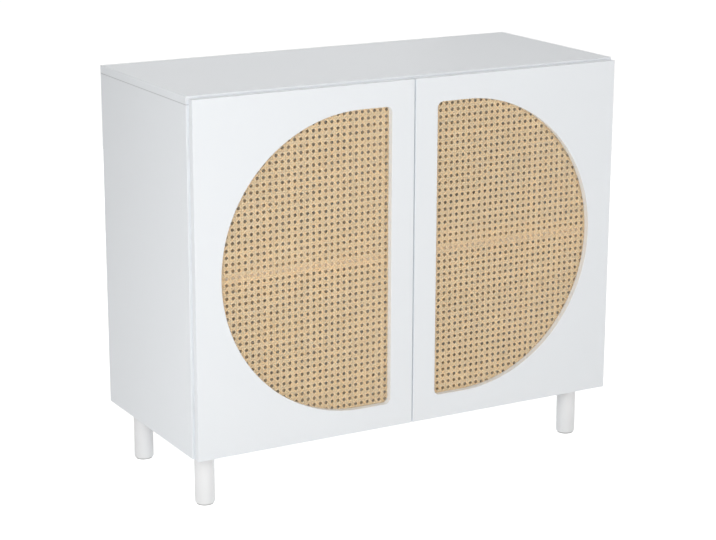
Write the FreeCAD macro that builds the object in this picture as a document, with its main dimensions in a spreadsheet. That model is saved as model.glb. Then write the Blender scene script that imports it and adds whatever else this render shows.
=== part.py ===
"""Record cabinet: a painted board carcass on round legs, with two cane-fronted overlay doors.

Frame of the part: millimetres, +X to the right, +Y to the back, +Z up.  The origin lies on the
floor, under the middle of the footprint.  The doors face -Y.  Everything on the left side is
modelled, and what the right side repeats is its mirror image in the plane X = 0.
"""

import FreeCAD, Part
import math
import os
import re

import Sketcher
from FreeCAD import Placement, Rotation, Vector

doc = FreeCAD.newDocument("record_cabinet")
sheet = doc.addObject("Spreadsheet::Sheet", "Sizes")
nodes = {}


# ---------------------------------------------------------------------------------------------
# Driving dimensions
# ---------------------------------------------------------------------------------------------

SIZES = {
    # Carcass
    "overall_width": 912,  # outside width over the side panels
    "overall_depth": 405,  # from the door faces to the nail heads at the back
    "box_height": 670,  # height of the carcass without its legs
    "leg_height": 110,  # floor to the underside of the carcass, glide included
    "board": 15,  # thickness of the carcass boards
    "edge_ease": 0.8,  # radius on the painted edges
    "back_thickness": 3,  # hardboard back
    "back_inset": 1.5,  # back panel inside the outline of the carcass

    # Shelves
    "shelf_level": 319,  # underside of the shelves above the underside of the carcass
    "shelf_setback": 8,  # shelf front edge behind the carcass front edge
    "shelf_play": 0.5,  # clearance at each end and behind a shelf
    "pin_diameter": 5,  # shelf pin shaft
    "pin_depth": 7,  # shelf pin shaft inside the board
    "pin_tongue": 10,  # shelf pin tongue under the shelf
    "pin_tongue_width": 8,  # shelf pin tongue
    "pin_tongue_height": 7,  # shelf pin tongue
    "pin_inset": 40,  # shelf pins from the front and rear edges

    # Doors
    "door_thickness": 15,  # door board
    "door_standoff": 2.5,  # gap between the carcass edge and the back of a door
    "door_reveal": 4,  # carcass edge left showing at the top and at both sides
    "door_meeting_gap": 3,  # gap between the two doors
    "door_chamfer": 1,  # chamfer on the outline of a door's back face

    # D-shaped opening, its cane panel and the strip that holds it
    "opening_radius": 286.5,  # half-round side of the opening
    "opening_side_margin": 51.5,  # half-round side of the opening to the hinge edge
    "opening_middle_margin": 47.7,  # straight side of the opening to the meeting edge
    "opening_corner": 12,  # radius of the two corners on the straight side
    "rebate_width": 9,  # ledge around the opening, in the back of the door
    "rebate_depth": 3,  # depth of the ledge
    "cane_thickness": 1.4,  # woven cane panel
    "cane_play": 1,  # cane panel inside the rebate's wall
    "cane_rim": 2,  # cane left whole along the edge of the opening
    "cane_opening": 25,  # one opening of the coarse grid, across its flats
    "cane_pitch": 50.8,  # openings apart, four meshes of half-inch cane
    "strip_width": 7,  # retaining strip over the edge of the cane
    "strip_thickness": 1.5,  # retaining strip

    # Legs
    "leg_diameter": 38,  # round leg
    "leg_foot_radius": 2.5,  # rounding at the bottom of a leg
    "leg_inset_side": 47,  # leg axis from the outside of a side panel
    "leg_inset_front": 51,  # leg axis behind the carcass front edge
    "leg_inset_rear": 52,  # leg axis in front of the carcass rear edge
    "glide_height": 3,  # felt glide
    "glide_diameter": 32,  # felt glide
    "leg_plate_side": 56,  # square mounting plate
    "leg_plate_thickness": 2.5,  # mounting plate
    "leg_plate_corner": 6,  # mounting plate corner radius
    "leg_screw_inset": 7.5,  # mounting plate screws from its edges
    "leg_screw_length": 11,  # mounting plate screw under its head
    "hanger_diameter": 8,  # hanger bolt
    "hanger_in_leg": 28,  # hanger bolt inside the leg
    "hanger_in_panel": 9,  # hanger bolt above the mounting plate

    # Carcass fittings
    "cam_diameter": 15,  # cam lock drum
    "cam_height": 12,  # cam lock drum
    "cam_play": 0.1,  # radial clearance of the drum in its bore
    "cam_slot_width": 1.6,  # driver slot
    "cam_slot_depth": 3,  # driver slot
    "cam_setback": 24,  # centre of a cam lock from the joint
    "cam_bolt_diameter": 5.6,  # cam bolt shaft
    "cam_bolt_head": 7,  # cam bolt head diameter
    "cam_bolt_head_length": 3,  # cam bolt head
    "cam_bolt_hold": 11,  # cam bolt inside the joined board
    "cam_socket_diameter": 7.6,  # passage for the cam bolt
    "top_cam_inset": 60,  # top joint cam locks from the front and rear edges
    "bottom_cam_inset": 116,  # bottom joint cam locks from the front and rear edges
    "dowel_diameter": 8,  # wooden dowel
    "dowel_length": 30,  # wooden dowel
    "dowel_hold": 10,  # dowel inside the board that it meets with its face
    "divider_screw_inset": 100,  # screws under the divider from the front and rear edges
    "divider_screw_diameter": 5,  # screw through the bottom panel into the divider
    "divider_screw_length": 50,  # the same screw, head included
    "divider_screw_head": 9.5,  # head diameter
    "divider_screw_head_height": 3,  # head height
    "nail_diameter": 1.5,  # back panel nail
    "nail_length": 18,  # back panel nail under its head
    "nail_head_diameter": 4.5,  # back panel nail head
    "nail_head_height": 0.5,  # back panel nail head
    "nail_edge": 60,  # outermost nails from the corners of the back panel

    # Concealed hinges
    "hinge_inset": 100,  # hinge centre from the top and bottom edge of a door
    "pivot_from_edge": 6.9,  # hinge pin from the door's edge
    "pivot_depth": 7.5,  # hinge pin in front of the door's back face
    "pivot_pin_diameter": 2.4,  # hinge pin
    "pivot_play": 0.05,  # radial running clearance of the arm's eye
    "eye_radius": 2.2,  # eye at the front of the hinge arm
    "eye_width": 6.4,  # eye and hook of the hinge arm, along the pin
    "hook_height": 3.4,  # hook of the hinge arm, across the door's thickness
    "hook_reach": 9.6,  # pin to the near face of the hook's post
    "hook_post": 4,  # thickness of the hook's post
    "hook_bend": 3.6,  # outer radius of the hook's bend
    "hook_crook": 0.6,  # inner radius of the hook's bend
    "cup_diameter": 35,  # hinge cup
    "cup_setback": 20.5,  # centre of the cup from the door's edge
    "cup_depth": 11.5,  # hinge cup
    "cup_wall": 0.9,  # wall and floor of the cup
    "cup_bend": 2.2,  # outer radius around the floor of the cup
    "cup_play": 0.1,  # radial clearance of the cup in its bore
    "cup_notch": 4,  # notch in the cup's rim for the opened arm
    "lug_reach": 7,  # half length of the hinge pin, to the outside of the cup's lugs
    "lug_play": 0.25,  # side clearance between the eye and a lug
    "lug_radius": 2.9,  # metal around the hinge pin
    "wing_thickness": 1.2,  # screw plate on the back of the door
    "wing_start": 9,  # screw plate from the door's edge
    "wing_end": 36,  # screw plate from the door's edge
    "wing_reach": 30,  # screw plate above and below the hinge centre
    "cup_screw_setback": 30,  # cup screws from the door's edge
    "cup_screw_reach": 24,  # cup screws above and below the hinge centre
    "cup_screw_length": 10,  # cup screw under its head
    "plate_thickness": 2.5,  # mounting plate on the side panel
    "plate_start": 15,  # mounting plate behind the back of the door
    "plate_end": 60,  # mounting plate behind the back of the door
    "plate_half_width": 8,  # mounting plate body
    "plate_corner": 3,  # rounding of the mounting plate body
    "plate_wing_reach": 22,  # mounting plate wings above and below the hinge centre
    "plate_wing_width": 14,  # mounting plate wings
    "plate_rib_height": 4.5,  # rib that the arm straddles
    "plate_rib_half_width": 5.2,  # rib that the arm straddles
    "plate_rib_ease": 1,  # rounding of the rib
    "plate_screw_setback": 39.5,  # mounting plate screws behind the back of the door
    "plate_screw_reach": 16,  # mounting plate screws above and below the hinge centre
    "plate_screw_length": 13.5,  # mounting plate screw under its head
    "arm_start": 12,  # front of the arm's channel behind the back of the door
    "arm_end": 62,  # rear of the arm's channel behind the back of the door
    "arm_half_width": 7,  # outside of the arm's channel
    "arm_height": 8.5,  # outside of the arm's channel
    "arm_wall": 1.5,  # wall of the arm's channel
    "arm_bend": 2.6,  # outer radius of the arm's channel
    "arm_screw_front": 24,  # front arm screw behind the back of the door
    "arm_screw_rear": 50,  # rear arm screw behind the back of the door
    "arm_screw_length": 10,  # arm screw under its head
    "screw_diameter": 4,  # small screws
    "screw_head_diameter": 7.2,  # small screw heads
    "screw_head_height": 1.8,  # small screw heads

    # Push latches and bumpers
    "latch_from_divider": 24,  # latch axis from the face of the divider
    "latch_drop": 9,  # latch axis under the top panel
    "latch_width": 17,  # latch housing
    "latch_height": 15,  # latch housing
    "latch_length": 72,  # latch housing
    "latch_setback": 1,  # latch housing behind the carcass front edge
    "latch_corner": 3,  # rounding of the latch housing
    "latch_ear_length": 12,  # screw ear at each side of the latch housing
    "latch_ear_reach": 9,  # screw ear beside the latch housing
    "latch_ear_thickness": 3,  # screw ear of the latch housing
    "latch_ear_setback": 30,  # screw ears behind the front of the latch housing
    "latch_ear_corner": 4,  # rounding of the screw ears
    "plunger_diameter": 8,  # latch plunger
    "plunger_play": 0.1,  # radial clearance of the plunger in its housing
    "plunger_length": 52,  # latch plunger
    "plunger_tip_radius": 1.5,  # rounding at the plunger's tip
    "plunger_gap": 0.3,  # plunger tip to the strike plate with the door closed
    "plunger_bore": 68,  # depth of the bore in the latch housing
    "strike_thickness": 1,  # strike plate on the back of a door
    "strike_width": 16,  # strike plate
    "strike_height": 24,  # strike plate
    "strike_corner": 3,  # rounding of the strike plate
    "strike_screw_length": 9,  # strike plate screw under its head
    "strike_screw_reach": 8,  # strike plate screws above and below the plunger
    "strike_screw_diameter": 2.5,  # strike plate screw
    "strike_screw_head": 5,  # strike plate screw head diameter
    "strike_screw_head_height": 0.6,  # strike plate screw head
    "bumper_diameter": 8,  # soft bumper
    "bumper_gap": 0.3,  # bumper to the carcass edge with the door closed
    "bumper_from_middle": 20,  # bumpers from the middle of the cabinet
    "bumper_level_low": 7.5,  # lower bumper above the underside of the carcass
    "bumper_level_high": 9,  # upper bumper under the top of the carcass
}

for row, (name, value) in enumerate(SIZES.items(), start=1):
    sheet.set(f"A{row}", name)
    sheet.set(f"B{row}", str(value))
    sheet.setAlias(f"B{row}", name)
doc.recompute()

# Derived lengths and places, as formulas of the sizes above
FRONT = "(-overall_depth/2 + door_thickness + door_standoff)"
REAR = "(overall_depth/2 - nail_head_height - back_thickness)"
LEFT = "(-overall_width/2)"
TOP = "(leg_height + box_height)"
CEILING = "(leg_height + box_height - board)"
FLOOR = "(leg_height + board)"
SHELF = "(leg_height + shelf_level)"
DOOR_WIDTH = "(overall_width/2 - door_reveal - door_meeting_gap/2)"
DOOR_HEIGHT = "(box_height - door_reveal)"
DOOR_EDGE = "(-overall_width/2 + door_reveal)"
DOOR_BACK = "(-overall_depth/2 + door_thickness)"
INNER_SIDE = "(board - door_reveal)"
LATCH_X = "(-board/2 - latch_from_divider)"
LATCH_Z = "(leg_height + box_height - board - latch_drop)"
LATCH_FRONT = "(-overall_depth/2 + door_thickness + door_standoff + latch_setback)"
MIDDLE_Y = f"(({FRONT} + {REAR})/2)"


# ---------------------------------------------------------------------------------------------
# Helpers
# ---------------------------------------------------------------------------------------------

def bound(formula):
    """Turn a formula of size names into an expression that reads the sheet."""
    return re.sub(r"[a-z][a-z_]+", lambda word: f"Sizes.{word[0]}" if word[0] in SIZES else word[0],
                  str(formula))


def number(formula):
    """The present value of a formula."""
    return float(sheet.evalExpression(bound(formula)))


def point(x, y, z):
    """A vector from three formulas."""
    return Vector(number(x), number(y), number(z))


def bind(thing, **settings):
    """Bind properties of an object to formulas."""
    for name, formula in settings.items():
        thing.setExpression(name, bound(formula))


def stand(thing, x="0", y="0", z="0"):
    """Bind the place of an object to formulas."""
    for axis, formula in (("x", x), ("y", y), ("z", z)):
        thing.setExpression(f"Placement.Base.{axis}", bound(formula))


def reach(span):
    """The formula for the distance between a pair of formulas."""
    return f"({span[1]}) - ({span[0]})"


def node(label, thing):
    """Name a finished sub-part; its label is also the name of its file."""
    thing.Label = label
    nodes[label] = thing
    return thing


def box(name, x, y, z):
    """A block between two corners, each given as a pair of formulas per axis."""
    block = doc.addObject("Part::Box", name)
    bind(block, Length=reach(x), Width=reach(y), Height=reach(z))
    stand(block, x[0], y[0], z[0])
    return block


def rod(name, along, start, radius, length):
    """A cylinder from a start point along +X, +Y or +Z."""
    direction = {"x": Vector(1, 0, 0), "y": Vector(0, 1, 0), "z": Vector(0, 0, 1)}[along]
    cylinder = doc.addObject("Part::Cylinder", name)
    cylinder.Placement = Placement(Vector(0, 0, 0), Rotation(Vector(0, 0, 1), direction))
    bind(cylinder, Radius=radius, Height=length)
    stand(cylinder, *start)
    return cylinder


def join(name, *shapes):
    """One object from several."""
    union = doc.addObject("Part::MultiFuse", name)
    union.Shapes = list(shapes)
    return union


def overlap(name, *shapes):
    """What several objects share."""
    common = doc.addObject("Part::MultiCommon", name)
    common.Shapes = list(shapes)
    return common


def cut(name, base, *tools):
    """A base object with tools taken away."""
    result = doc.addObject("Part::Cut", name)
    result.Base = base
    result.Tool = tools[0] if len(tools) == 1 else join(f"{name}_tools", *tools)
    return result


def mirrored(label, source):
    """The right-hand twin of a left-hand sub-part."""
    twin = doc.addObject("Part::Mirroring", label)
    twin.Source = source
    twin.Base = Vector(0, 0, 0)
    twin.Normal = Vector(1, 0, 0)
    return node(label, twin)


def copies(name, master, places):
    """Separate copies of one master, as one object."""
    doc.recompute()
    feature = doc.addObject("Part::Feature", name)
    feature.Shape = Part.makeCompound(
        [master.Shape.transformed(place.toMatrix()) for place in places])
    return feature


def group(label, master, places):
    """Separate copies of one master, as one sub-part."""
    return node(label, copies(label, master, places))


def group_of_both_sides(label, left):
    """A left-hand set of pieces and its mirror image, as one sub-part."""
    feature = doc.addObject("Part::Feature", label)
    right = left.Shape.mirror(Vector(0, 0, 0), Vector(1, 0, 0))
    feature.Shape = Part.makeCompound(left.Shape.Solids + right.Solids)
    return node(label, feature)


def at(x, y, z, toward=None):
    """A place for a group's copy; toward turns the master's +Z axis that way."""
    turn = Rotation(Vector(0, 0, 1), toward) if toward else Rotation()
    return Placement(point(x, y, z), turn)


def new_body(name):
    """An empty PartDesign body."""
    return doc.addObject("PartDesign::Body", name)


def new_sketch(body, role, lift="0"):
    """A sketch on one of the body's own origin planes, lifted along the plane's normal."""
    plane = next(entry for entry in body.Origin.OriginFeatures if entry.Role == role)
    sketch = body.newObject("Sketcher::SketchObject", f"{body.Name}_sketch")
    sketch.AttachmentSupport = [(plane, "")]
    sketch.MapMode = "FlatFace"
    if lift != "0":
        sketch.setExpression("AttachmentOffset.Base.z", bound(lift))
    return sketch


def pin_down(sketch, geometry, end, x=None, y=None):
    """Tie a point of a sketch to formulas for its coordinates."""
    for kind, formula, axis in (("DistanceX", x, -2), ("DistanceY", y, -1)):
        if formula is None:
            continue
        if formula == "0":
            sketch.addConstraint(Sketcher.Constraint("PointOnObject", geometry, end, axis))
            continue
        index = sketch.addConstraint(
            Sketcher.Constraint(kind, -1, 1, geometry, end, number(formula)))
        sketch.setExpression(f"Constraints[{index}]", bound(formula))


def give_radius(sketch, geometry, formula):
    """Tie the radius of an arc or circle to a formula."""
    index = sketch.addConstraint(Sketcher.Constraint("Radius", geometry, number(formula)))
    sketch.setExpression(f"Constraints[{index}]", bound(formula))


def draw_polygon(sketch, corners):
    """A closed outline of straight lines, every corner tied to its formulas."""
    first = sketch.GeometryCount
    spots = [Vector(number(x), number(y), 0) for x, y in corners]
    count = len(spots)
    for index, spot in enumerate(spots):
        sketch.addGeometry(Part.LineSegment(spot, spots[(index + 1) % count]), False)
    for index in range(count):
        following = first + (index + 1) % count
        sketch.addConstraint(Sketcher.Constraint("Coincident", first + index, 2, following, 1))
    for index, (x, y) in enumerate(corners):
        pin_down(sketch, first + index, 1, x, y)


def draw_rectangle(sketch, x, y):
    """A rectangle between two corners, each axis given as a pair of formulas."""
    draw_polygon(sketch, [(x[0], y[0]), (x[1], y[0]), (x[1], y[1]), (x[0], y[1])])


def draw_circle(sketch, x, y, radius):
    """A circle tied to its centre and radius."""
    centre = Vector(number(x), number(y), 0)
    circle = sketch.addGeometry(Part.Circle(centre, Vector(0, 0, 1), number(radius)), False)
    pin_down(sketch, circle, 3, x, y)
    give_radius(sketch, circle, radius)


def draw_opening(sketch, outward="0"):
    """The door's D outline, grown outward: a half circle, two level runs and rounded corners."""
    centre_x = "opening_side_margin + opening_radius"
    centre_y = f"{DOOR_HEIGHT}/2"
    radius = f"opening_radius + {outward}"
    corner = f"opening_corner + {outward}"
    straight = f"{DOOR_WIDTH} - opening_middle_margin + {outward}"
    cx, cy, big, small, far = (number(f) for f in (centre_x, centre_y, radius, corner, straight))
    quarter = math.pi/2
    up = Vector(0, 0, 1)

    def arc(x, y, r, start, end):
        return Part.ArcOfCircle(Part.Circle(Vector(x, y, 0), up, r), start, end)

    def line(x0, y0, x1, y1):
        return Part.LineSegment(Vector(x0, y0, 0), Vector(x1, y1, 0))

    near = far - small
    half_round = sketch.addGeometry(arc(cx, cy, big, quarter, 3*quarter), False)
    low_run = sketch.addGeometry(line(cx, cy - big, near, cy - big), False)
    low_corner = sketch.addGeometry(arc(near, cy - big + small, small, -quarter, 0), False)
    upright = sketch.addGeometry(line(far, cy - big + small, far, cy + big - small), False)
    high_corner = sketch.addGeometry(arc(near, cy + big - small, small, 0, quarter), False)
    high_run = sketch.addGeometry(line(near, cy + big, cx, cy + big), False)
    loop = [half_round, low_run, low_corner, upright, high_corner, high_run]
    for index, edge in enumerate(loop):
        following = loop[(index + 1) % len(loop)]
        sketch.addConstraint(Sketcher.Constraint("Tangent", edge, 2, following, 1))
    sketch.addConstraint(Sketcher.Constraint("Horizontal", low_run))
    sketch.addConstraint(Sketcher.Constraint("Horizontal", high_run))
    sketch.addConstraint(Sketcher.Constraint("Vertical", upright))
    sketch.addConstraint(Sketcher.Constraint("Equal", low_corner, high_corner))
    pin_down(sketch, half_round, 3, centre_x, centre_y)
    give_radius(sketch, half_round, radius)
    give_radius(sketch, low_corner, corner)
    pin_down(sketch, upright, 1, straight)


def pad(body, sketch, length):
    """Raise a sketch along its normal."""
    feature = body.newObject("PartDesign::Pad", f"{body.Name}_pad")
    feature.Profile = sketch
    bind(feature, Length=length)
    sketch.Visibility = False
    return feature


def pocket(body, sketch, depth, along_normal=False):
    """Sink a sketch into the body; a pocket that removes nothing is an error."""
    doc.recompute()
    before = body.Shape.Volume
    feature = body.newObject("PartDesign::Pocket", f"{body.Name}_pocket")
    feature.Profile = sketch
    feature.Reversed = along_normal
    bind(feature, Length=depth)
    doc.recompute()
    if body.Shape.Volume >= before - 1e-6:
        raise RuntimeError(f"a pocket of {body.Label} removes nothing")
    return feature


def edges_where(shape, test):
    """Names of the edges of a shape that pass a test."""
    return [f"Edge{index + 1}" for index, edge in enumerate(shape.Edges) if test(edge)]


def soften(body, kind, radius, test):
    """Fillet or chamfer the edges of a body that pass a test."""
    doc.recompute()
    base = body.Tip
    feature = body.newObject(f"PartDesign::{kind}", f"{body.Name}_{kind.lower()}")
    feature.Base = (base, edges_where(base.Shape, test))
    bind(feature, **({"Radius": radius} if kind == "Fillet" else {"Size": radius}))
    return feature


def lies_at(edge, axis, level):
    """Whether a whole edge lies in a plane square to an axis."""
    limits = edge.BoundBox
    low = getattr(limits, f"{axis}Min")
    high = getattr(limits, f"{axis}Max")
    return abs(low - level) < 1e-4 and abs(high - level) < 1e-4


def runs_along(edge, axis):
    """Whether an edge is straight and parallel to an axis."""
    limits = edge.BoundBox
    return all(getattr(limits, f"{other}Length") < 1e-4 for other in "XYZ" if other != axis)


def panel(name, x, y, z, test=None, radius="edge_ease"):
    """A board or plate between two corners; the edges that pass a test are rounded.

    The test sees the block with its first corner at the origin.
    """
    body = new_body(name)
    sketch = new_sketch(body, "XY_Plane")
    draw_rectangle(sketch, ("0", reach(x)), ("0", reach(y)))
    pad(body, sketch, reach(z))
    if test:
        soften(body, "Fillet", radius, test)
    stand(body, x[0], y[0], z[0])
    return body


def any_edge(edge):
    """Every edge of a board is eased."""
    return True


def front_edge(edge):
    """Only the edges around a board's front edge are eased."""
    return lies_at(edge, "Y", 0)


def headed(name, radius, length, head_radius, head_height):
    """A screw, bolt or nail: head above z = 0, shank below."""
    shank = rod(f"{name}_shank", "z", ("0", "0", f"-({length})"), radius, length)
    head = rod(f"{name}_head", "z", ("0", "0", "0"), head_radius, head_height)
    return join(name, shank, head)


def both(formula):
    """A formula and its negative."""
    return (formula, f"-({formula})")


# ---------------------------------------------------------------------------------------------
# Carcass fittings: locks, dowels, screws and nails
# ---------------------------------------------------------------------------------------------

UP = Vector(0, 0, 1)
DOWN = Vector(0, 0, -1)
TO_RIGHT = Vector(1, 0, 0)
TO_LEFT = Vector(-1, 0, 0)
TO_BACK = Vector(0, 1, 0)
TO_FRONT = Vector(0, -1, 0)

SIDE_MIDDLE = "(-overall_width/2 + board/2)"
TOP_CAM_YS = (f"{FRONT} + top_cam_inset", f"{REAR} - top_cam_inset")
BOTTOM_CAM_YS = (f"{FRONT} + bottom_cam_inset", f"{REAR} - bottom_cam_inset")


def cam_lock_master():
    """A cam drum with its face at z = 0, its driver slot and a passage for the bolt along Y."""
    drum = rod("cam_drum", "z", ("0", "0", "-cam_height"), "cam_diameter/2", "cam_height")
    slot = box("cam_slot", ("-cam_diameter/2 + 2", "cam_diameter/2 - 2"),
               ("-cam_slot_width/2", "cam_slot_width/2"), ("-cam_slot_depth", "1"))
    passage = rod("cam_passage", "y", ("0", "-cam_diameter", "-board/2"),
                  "cam_socket_diameter/2", "cam_diameter + cam_bolt_head_length")
    return cut("cam_lock_master", drum, slot, passage)


def cam_frames():
    """Where each cam lock sits: face centre, outward normal and the direction to its joint."""
    frames = []
    for side, normal in ((1, TO_RIGHT), (-1, TO_LEFT)):
        for y in TOP_CAM_YS:
            x = f"{side}*({LEFT} + board)"
            frames.append((x, y, f"{CEILING} - cam_setback", normal, UP))
        for y in BOTTOM_CAM_YS:
            x = f"{side}*({LEFT} + board + cam_setback)"
            frames.append((x, y, "leg_height", DOWN, normal*-1))
    for y in TOP_CAM_YS:
        frames.append(("-board/2", y, f"{CEILING} - cam_setback", TO_LEFT, UP))
    return frames


def square_turn(normal, joint):
    """The turn that takes +Z to the normal and -Y to the joint."""
    return Rotation(normal.cross(joint), joint*-1, normal, "ZYX")


cam_places = [Placement(point(x, y, z), square_turn(normal, joint))
              for x, y, z, normal, joint in cam_frames()]
cam_locks = group("cam_locks", cam_lock_master(), cam_places)

cam_bolt_master = join(
    "cam_bolt_master",
    rod("cam_bolt_shaft", "z", ("0", "0", "-cam_setback"), "cam_bolt_diameter/2",
        "cam_setback + cam_bolt_hold"),
    rod("cam_bolt_end", "z", ("0", "0", "-cam_setback - cam_bolt_head_length/2"),
        "cam_bolt_head/2", "cam_bolt_head_length"))


def cam_bolt_places():
    """Each bolt stands in the joined board and reaches its cam lock."""
    places = []
    for x, y, z, normal, joint in cam_frames():
        depth = number("board/2")
        root = point(x, y, z) + normal*-depth + joint*number("cam_setback")
        places.append(Placement(root, Rotation(UP, joint)))
    return places


cam_bolts = group("cam_bolts", cam_bolt_master, cam_bolt_places())

dowel_master = rod("dowel_master", "z", ("0", "0", "dowel_hold - dowel_length"),
                   "dowel_diameter/2", "dowel_length")
dowels = group("dowels", dowel_master, [
    at(SIDE_MIDDLE, MIDDLE_Y, CEILING, UP),
    at(f"-{SIDE_MIDDLE}", MIDDLE_Y, CEILING, UP),
    at("0", MIDDLE_Y, CEILING, UP),
    at("0", MIDDLE_Y, FLOOR, DOWN),
    at(f"{LEFT} + board", MIDDLE_Y, "leg_height + board/2", TO_LEFT),
    at(f"-{LEFT} - board", MIDDLE_Y, "leg_height + board/2", TO_RIGHT)])

divider_screw_master = join(
    "divider_screw_master",
    rod("divider_screw_head_rod", "z", ("0", "0", "0"), "divider_screw_head/2",
        "divider_screw_head_height"),
    rod("divider_screw_shank", "z", ("0", "0", "0"), "divider_screw_diameter/2",
        "divider_screw_length"))
divider_screws = group("divider_screws", divider_screw_master, [
    at("0", f"{FRONT} + divider_screw_inset", "leg_height"),
    at("0", f"{REAR} - divider_screw_inset", "leg_height")])

nail_master = headed("nail_master", "nail_diameter/2", "nail_length",
                     "nail_head_diameter/2", "nail_head_height")


def nail_places():
    """Nails along all four edges of the back panel and down the divider."""
    places = []
    back = f"{REAR} + back_thickness"
    levels = ("leg_height + board/2", f"{TOP} - board/2")
    across = 5
    for level in levels:
        for step in range(across):
            x = f"({LEFT} + nail_edge) + {step}*(overall_width - 2*nail_edge)/{across - 1}"
            if step != across // 2:
                places.append(at(x, back, level, TO_BACK))
    upright = 4
    for x in (SIDE_MIDDLE, "0", f"-{SIDE_MIDDLE}"):
        for step in range(upright):
            z = f"(leg_height + nail_edge) + {step}*(box_height - 2*nail_edge)/{upright - 1}"
            places.append(at(x, back, z, TO_BACK))
    return places


nails = group("back_panel_nails", nail_master, nail_places())


# ---------------------------------------------------------------------------------------------
# Shelf pins
# ---------------------------------------------------------------------------------------------

shelf_pin_master = join(
    "shelf_pin_master",
    rod("shelf_pin_shaft", "x", ("-pin_depth", "0", "-pin_tongue_height/2"), "pin_diameter/2",
        "pin_depth"),
    box("shelf_pin_tongue", ("0", "pin_tongue"), ("-pin_tongue_width/2", "pin_tongue_width/2"),
        ("-pin_tongue_height", "0")))
pin_ys = (f"{FRONT} + pin_inset", f"{REAR} - pin_inset")


def shelf_pin_places():
    """Four pins for each shelf: two in the side panel and two in the divider."""
    places = []
    turned = Rotation(UP, 180)
    for y in pin_ys:
        for x in (f"{LEFT} + board", "board/2"):
            places.append(Placement(point(x, y, SHELF), Rotation()))
        for x in (f"-{LEFT} - board", "-board/2"):
            places.append(Placement(point(x, y, SHELF), turned))
    return places


shelf_pins = group("shelf_pins", shelf_pin_master, shelf_pin_places())


# ---------------------------------------------------------------------------------------------
# Legs
# ---------------------------------------------------------------------------------------------

LEG_X = "(overall_width/2 - leg_inset_side)"
LEG_FRONT_Y = f"({FRONT} + leg_inset_front)"
LEG_REAR_Y = f"({REAR} - leg_inset_rear)"
PLATE_UNDERSIDE = "(leg_height - leg_plate_thickness)"
leg_spots = {
    "front_left": (f"-{LEG_X}", LEG_FRONT_Y),
    "front_right": (LEG_X, LEG_FRONT_Y),
    "rear_left": (f"-{LEG_X}", LEG_REAR_Y),
    "rear_right": (LEG_X, LEG_REAR_Y),
}


def leg(label, x, y):
    """A round leg with a softened foot and a blind bore for its hanger bolt."""
    body = new_body(label)
    foot = new_sketch(body, "XY_Plane", "glide_height")
    draw_circle(foot, "0", "0", "leg_diameter/2")
    pad(body, foot, f"{PLATE_UNDERSIDE} - glide_height")
    soften(body, "Fillet", "leg_foot_radius", lambda edge: lies_at(edge, "Z", number("glide_height")))
    mouth = new_sketch(body, "XY_Plane", PLATE_UNDERSIDE)
    draw_circle(mouth, "0", "0", "hanger_diameter/2")
    pocket(body, mouth, "hanger_in_leg")
    stand(body, x, y)
    return node(label, body)


for corner, (leg_x, leg_y) in leg_spots.items():
    leg(f"{corner}_leg", leg_x, leg_y)


def leg_places(z):
    """One place per leg at a level."""
    return [at(x, y, z) for x, y in leg_spots.values()]


glide_master = rod("glide_master", "z", ("0", "0", "0"), "glide_diameter/2", "glide_height")
group("leg_glides", glide_master, leg_places("0"))

hanger_master = rod("hanger_master", "z", ("0", "0", "-hanger_in_leg"), "hanger_diameter/2",
                    "hanger_in_leg + leg_plate_thickness + hanger_in_panel")
hanger_bolts = group("hanger_bolts", hanger_master, leg_places(PLATE_UNDERSIDE))

leg_screw_master = headed("leg_screw_master", "screw_diameter/2", "leg_screw_length",
                          "screw_head_diameter/2", "screw_head_height")
LEG_SCREW = "(leg_plate_side/2 - leg_screw_inset)"
leg_screw_spots = [(x, y) for x in both(LEG_SCREW) for y in both(LEG_SCREW)]
leg_screws = group("leg_plate_screws", leg_screw_master, [
    at(f"{leg_x} + {x}", f"{leg_y} + {y}", PLATE_UNDERSIDE, DOWN)
    for leg_x, leg_y in leg_spots.values() for x, y in leg_screw_spots])


def leg_plate_master():
    """A square plate with rounded corners, its underside at z = 0, bored for bolt and screws."""
    span = ("-leg_plate_side/2", "leg_plate_side/2")
    plate = panel("leg_plate_blank", span, span, ("0", "leg_plate_thickness"),
                  lambda edge: runs_along(edge, "Z"), "leg_plate_corner")
    bores = [rod("leg_plate_bore", "z", ("0", "0", "-1"), "hanger_diameter/2",
                 "leg_plate_thickness + 2")]
    for x, y in leg_screw_spots:
        bores.append(rod("leg_plate_screw_bore", "z", (x, y, "-1"), "screw_diameter/2",
                         "leg_plate_thickness + 2"))
    return cut("leg_plate_master", plate, *bores)


group("leg_mounting_plates", leg_plate_master(), leg_places(PLATE_UNDERSIDE))


# ---------------------------------------------------------------------------------------------
# Concealed hinges, in a frame of their own: X from the door's edge towards the middle of the
# cabinet, Y from the door's back face into the cabinet, Z from the hinge centre upwards
# ---------------------------------------------------------------------------------------------

PIVOT_Y = "(-pivot_depth)"
EYE = "(eye_width/2)"
SLOT = "(eye_width/2 + lug_play)"
PLATE_FACE = f"({INNER_SIDE} + plate_thickness)"
RIB_FACE = f"({INNER_SIDE} + plate_thickness + plate_rib_height)"
ARM_FACE = f"({INNER_SIDE} + plate_thickness + arm_height)"
POST = ("(pivot_from_edge + hook_reach)", "(pivot_from_edge + hook_reach + hook_post)")
hinge_levels = {
    "lower": "leg_height + hinge_inset",
    "upper": f"leg_height + {DOOR_HEIGHT} - hinge_inset",
}
hinge_places = {name: at(DOOR_EDGE, DOOR_BACK, level) for name, level in hinge_levels.items()}


def hinge_screws(name, spots, toward, radius, length):
    """Screws of one hinge, as one master."""
    one = headed(f"{name}_one", radius, length, "screw_head_diameter/2", "screw_head_height")
    return copies(name, one, [at(*spot, toward) for spot in spots])


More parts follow.
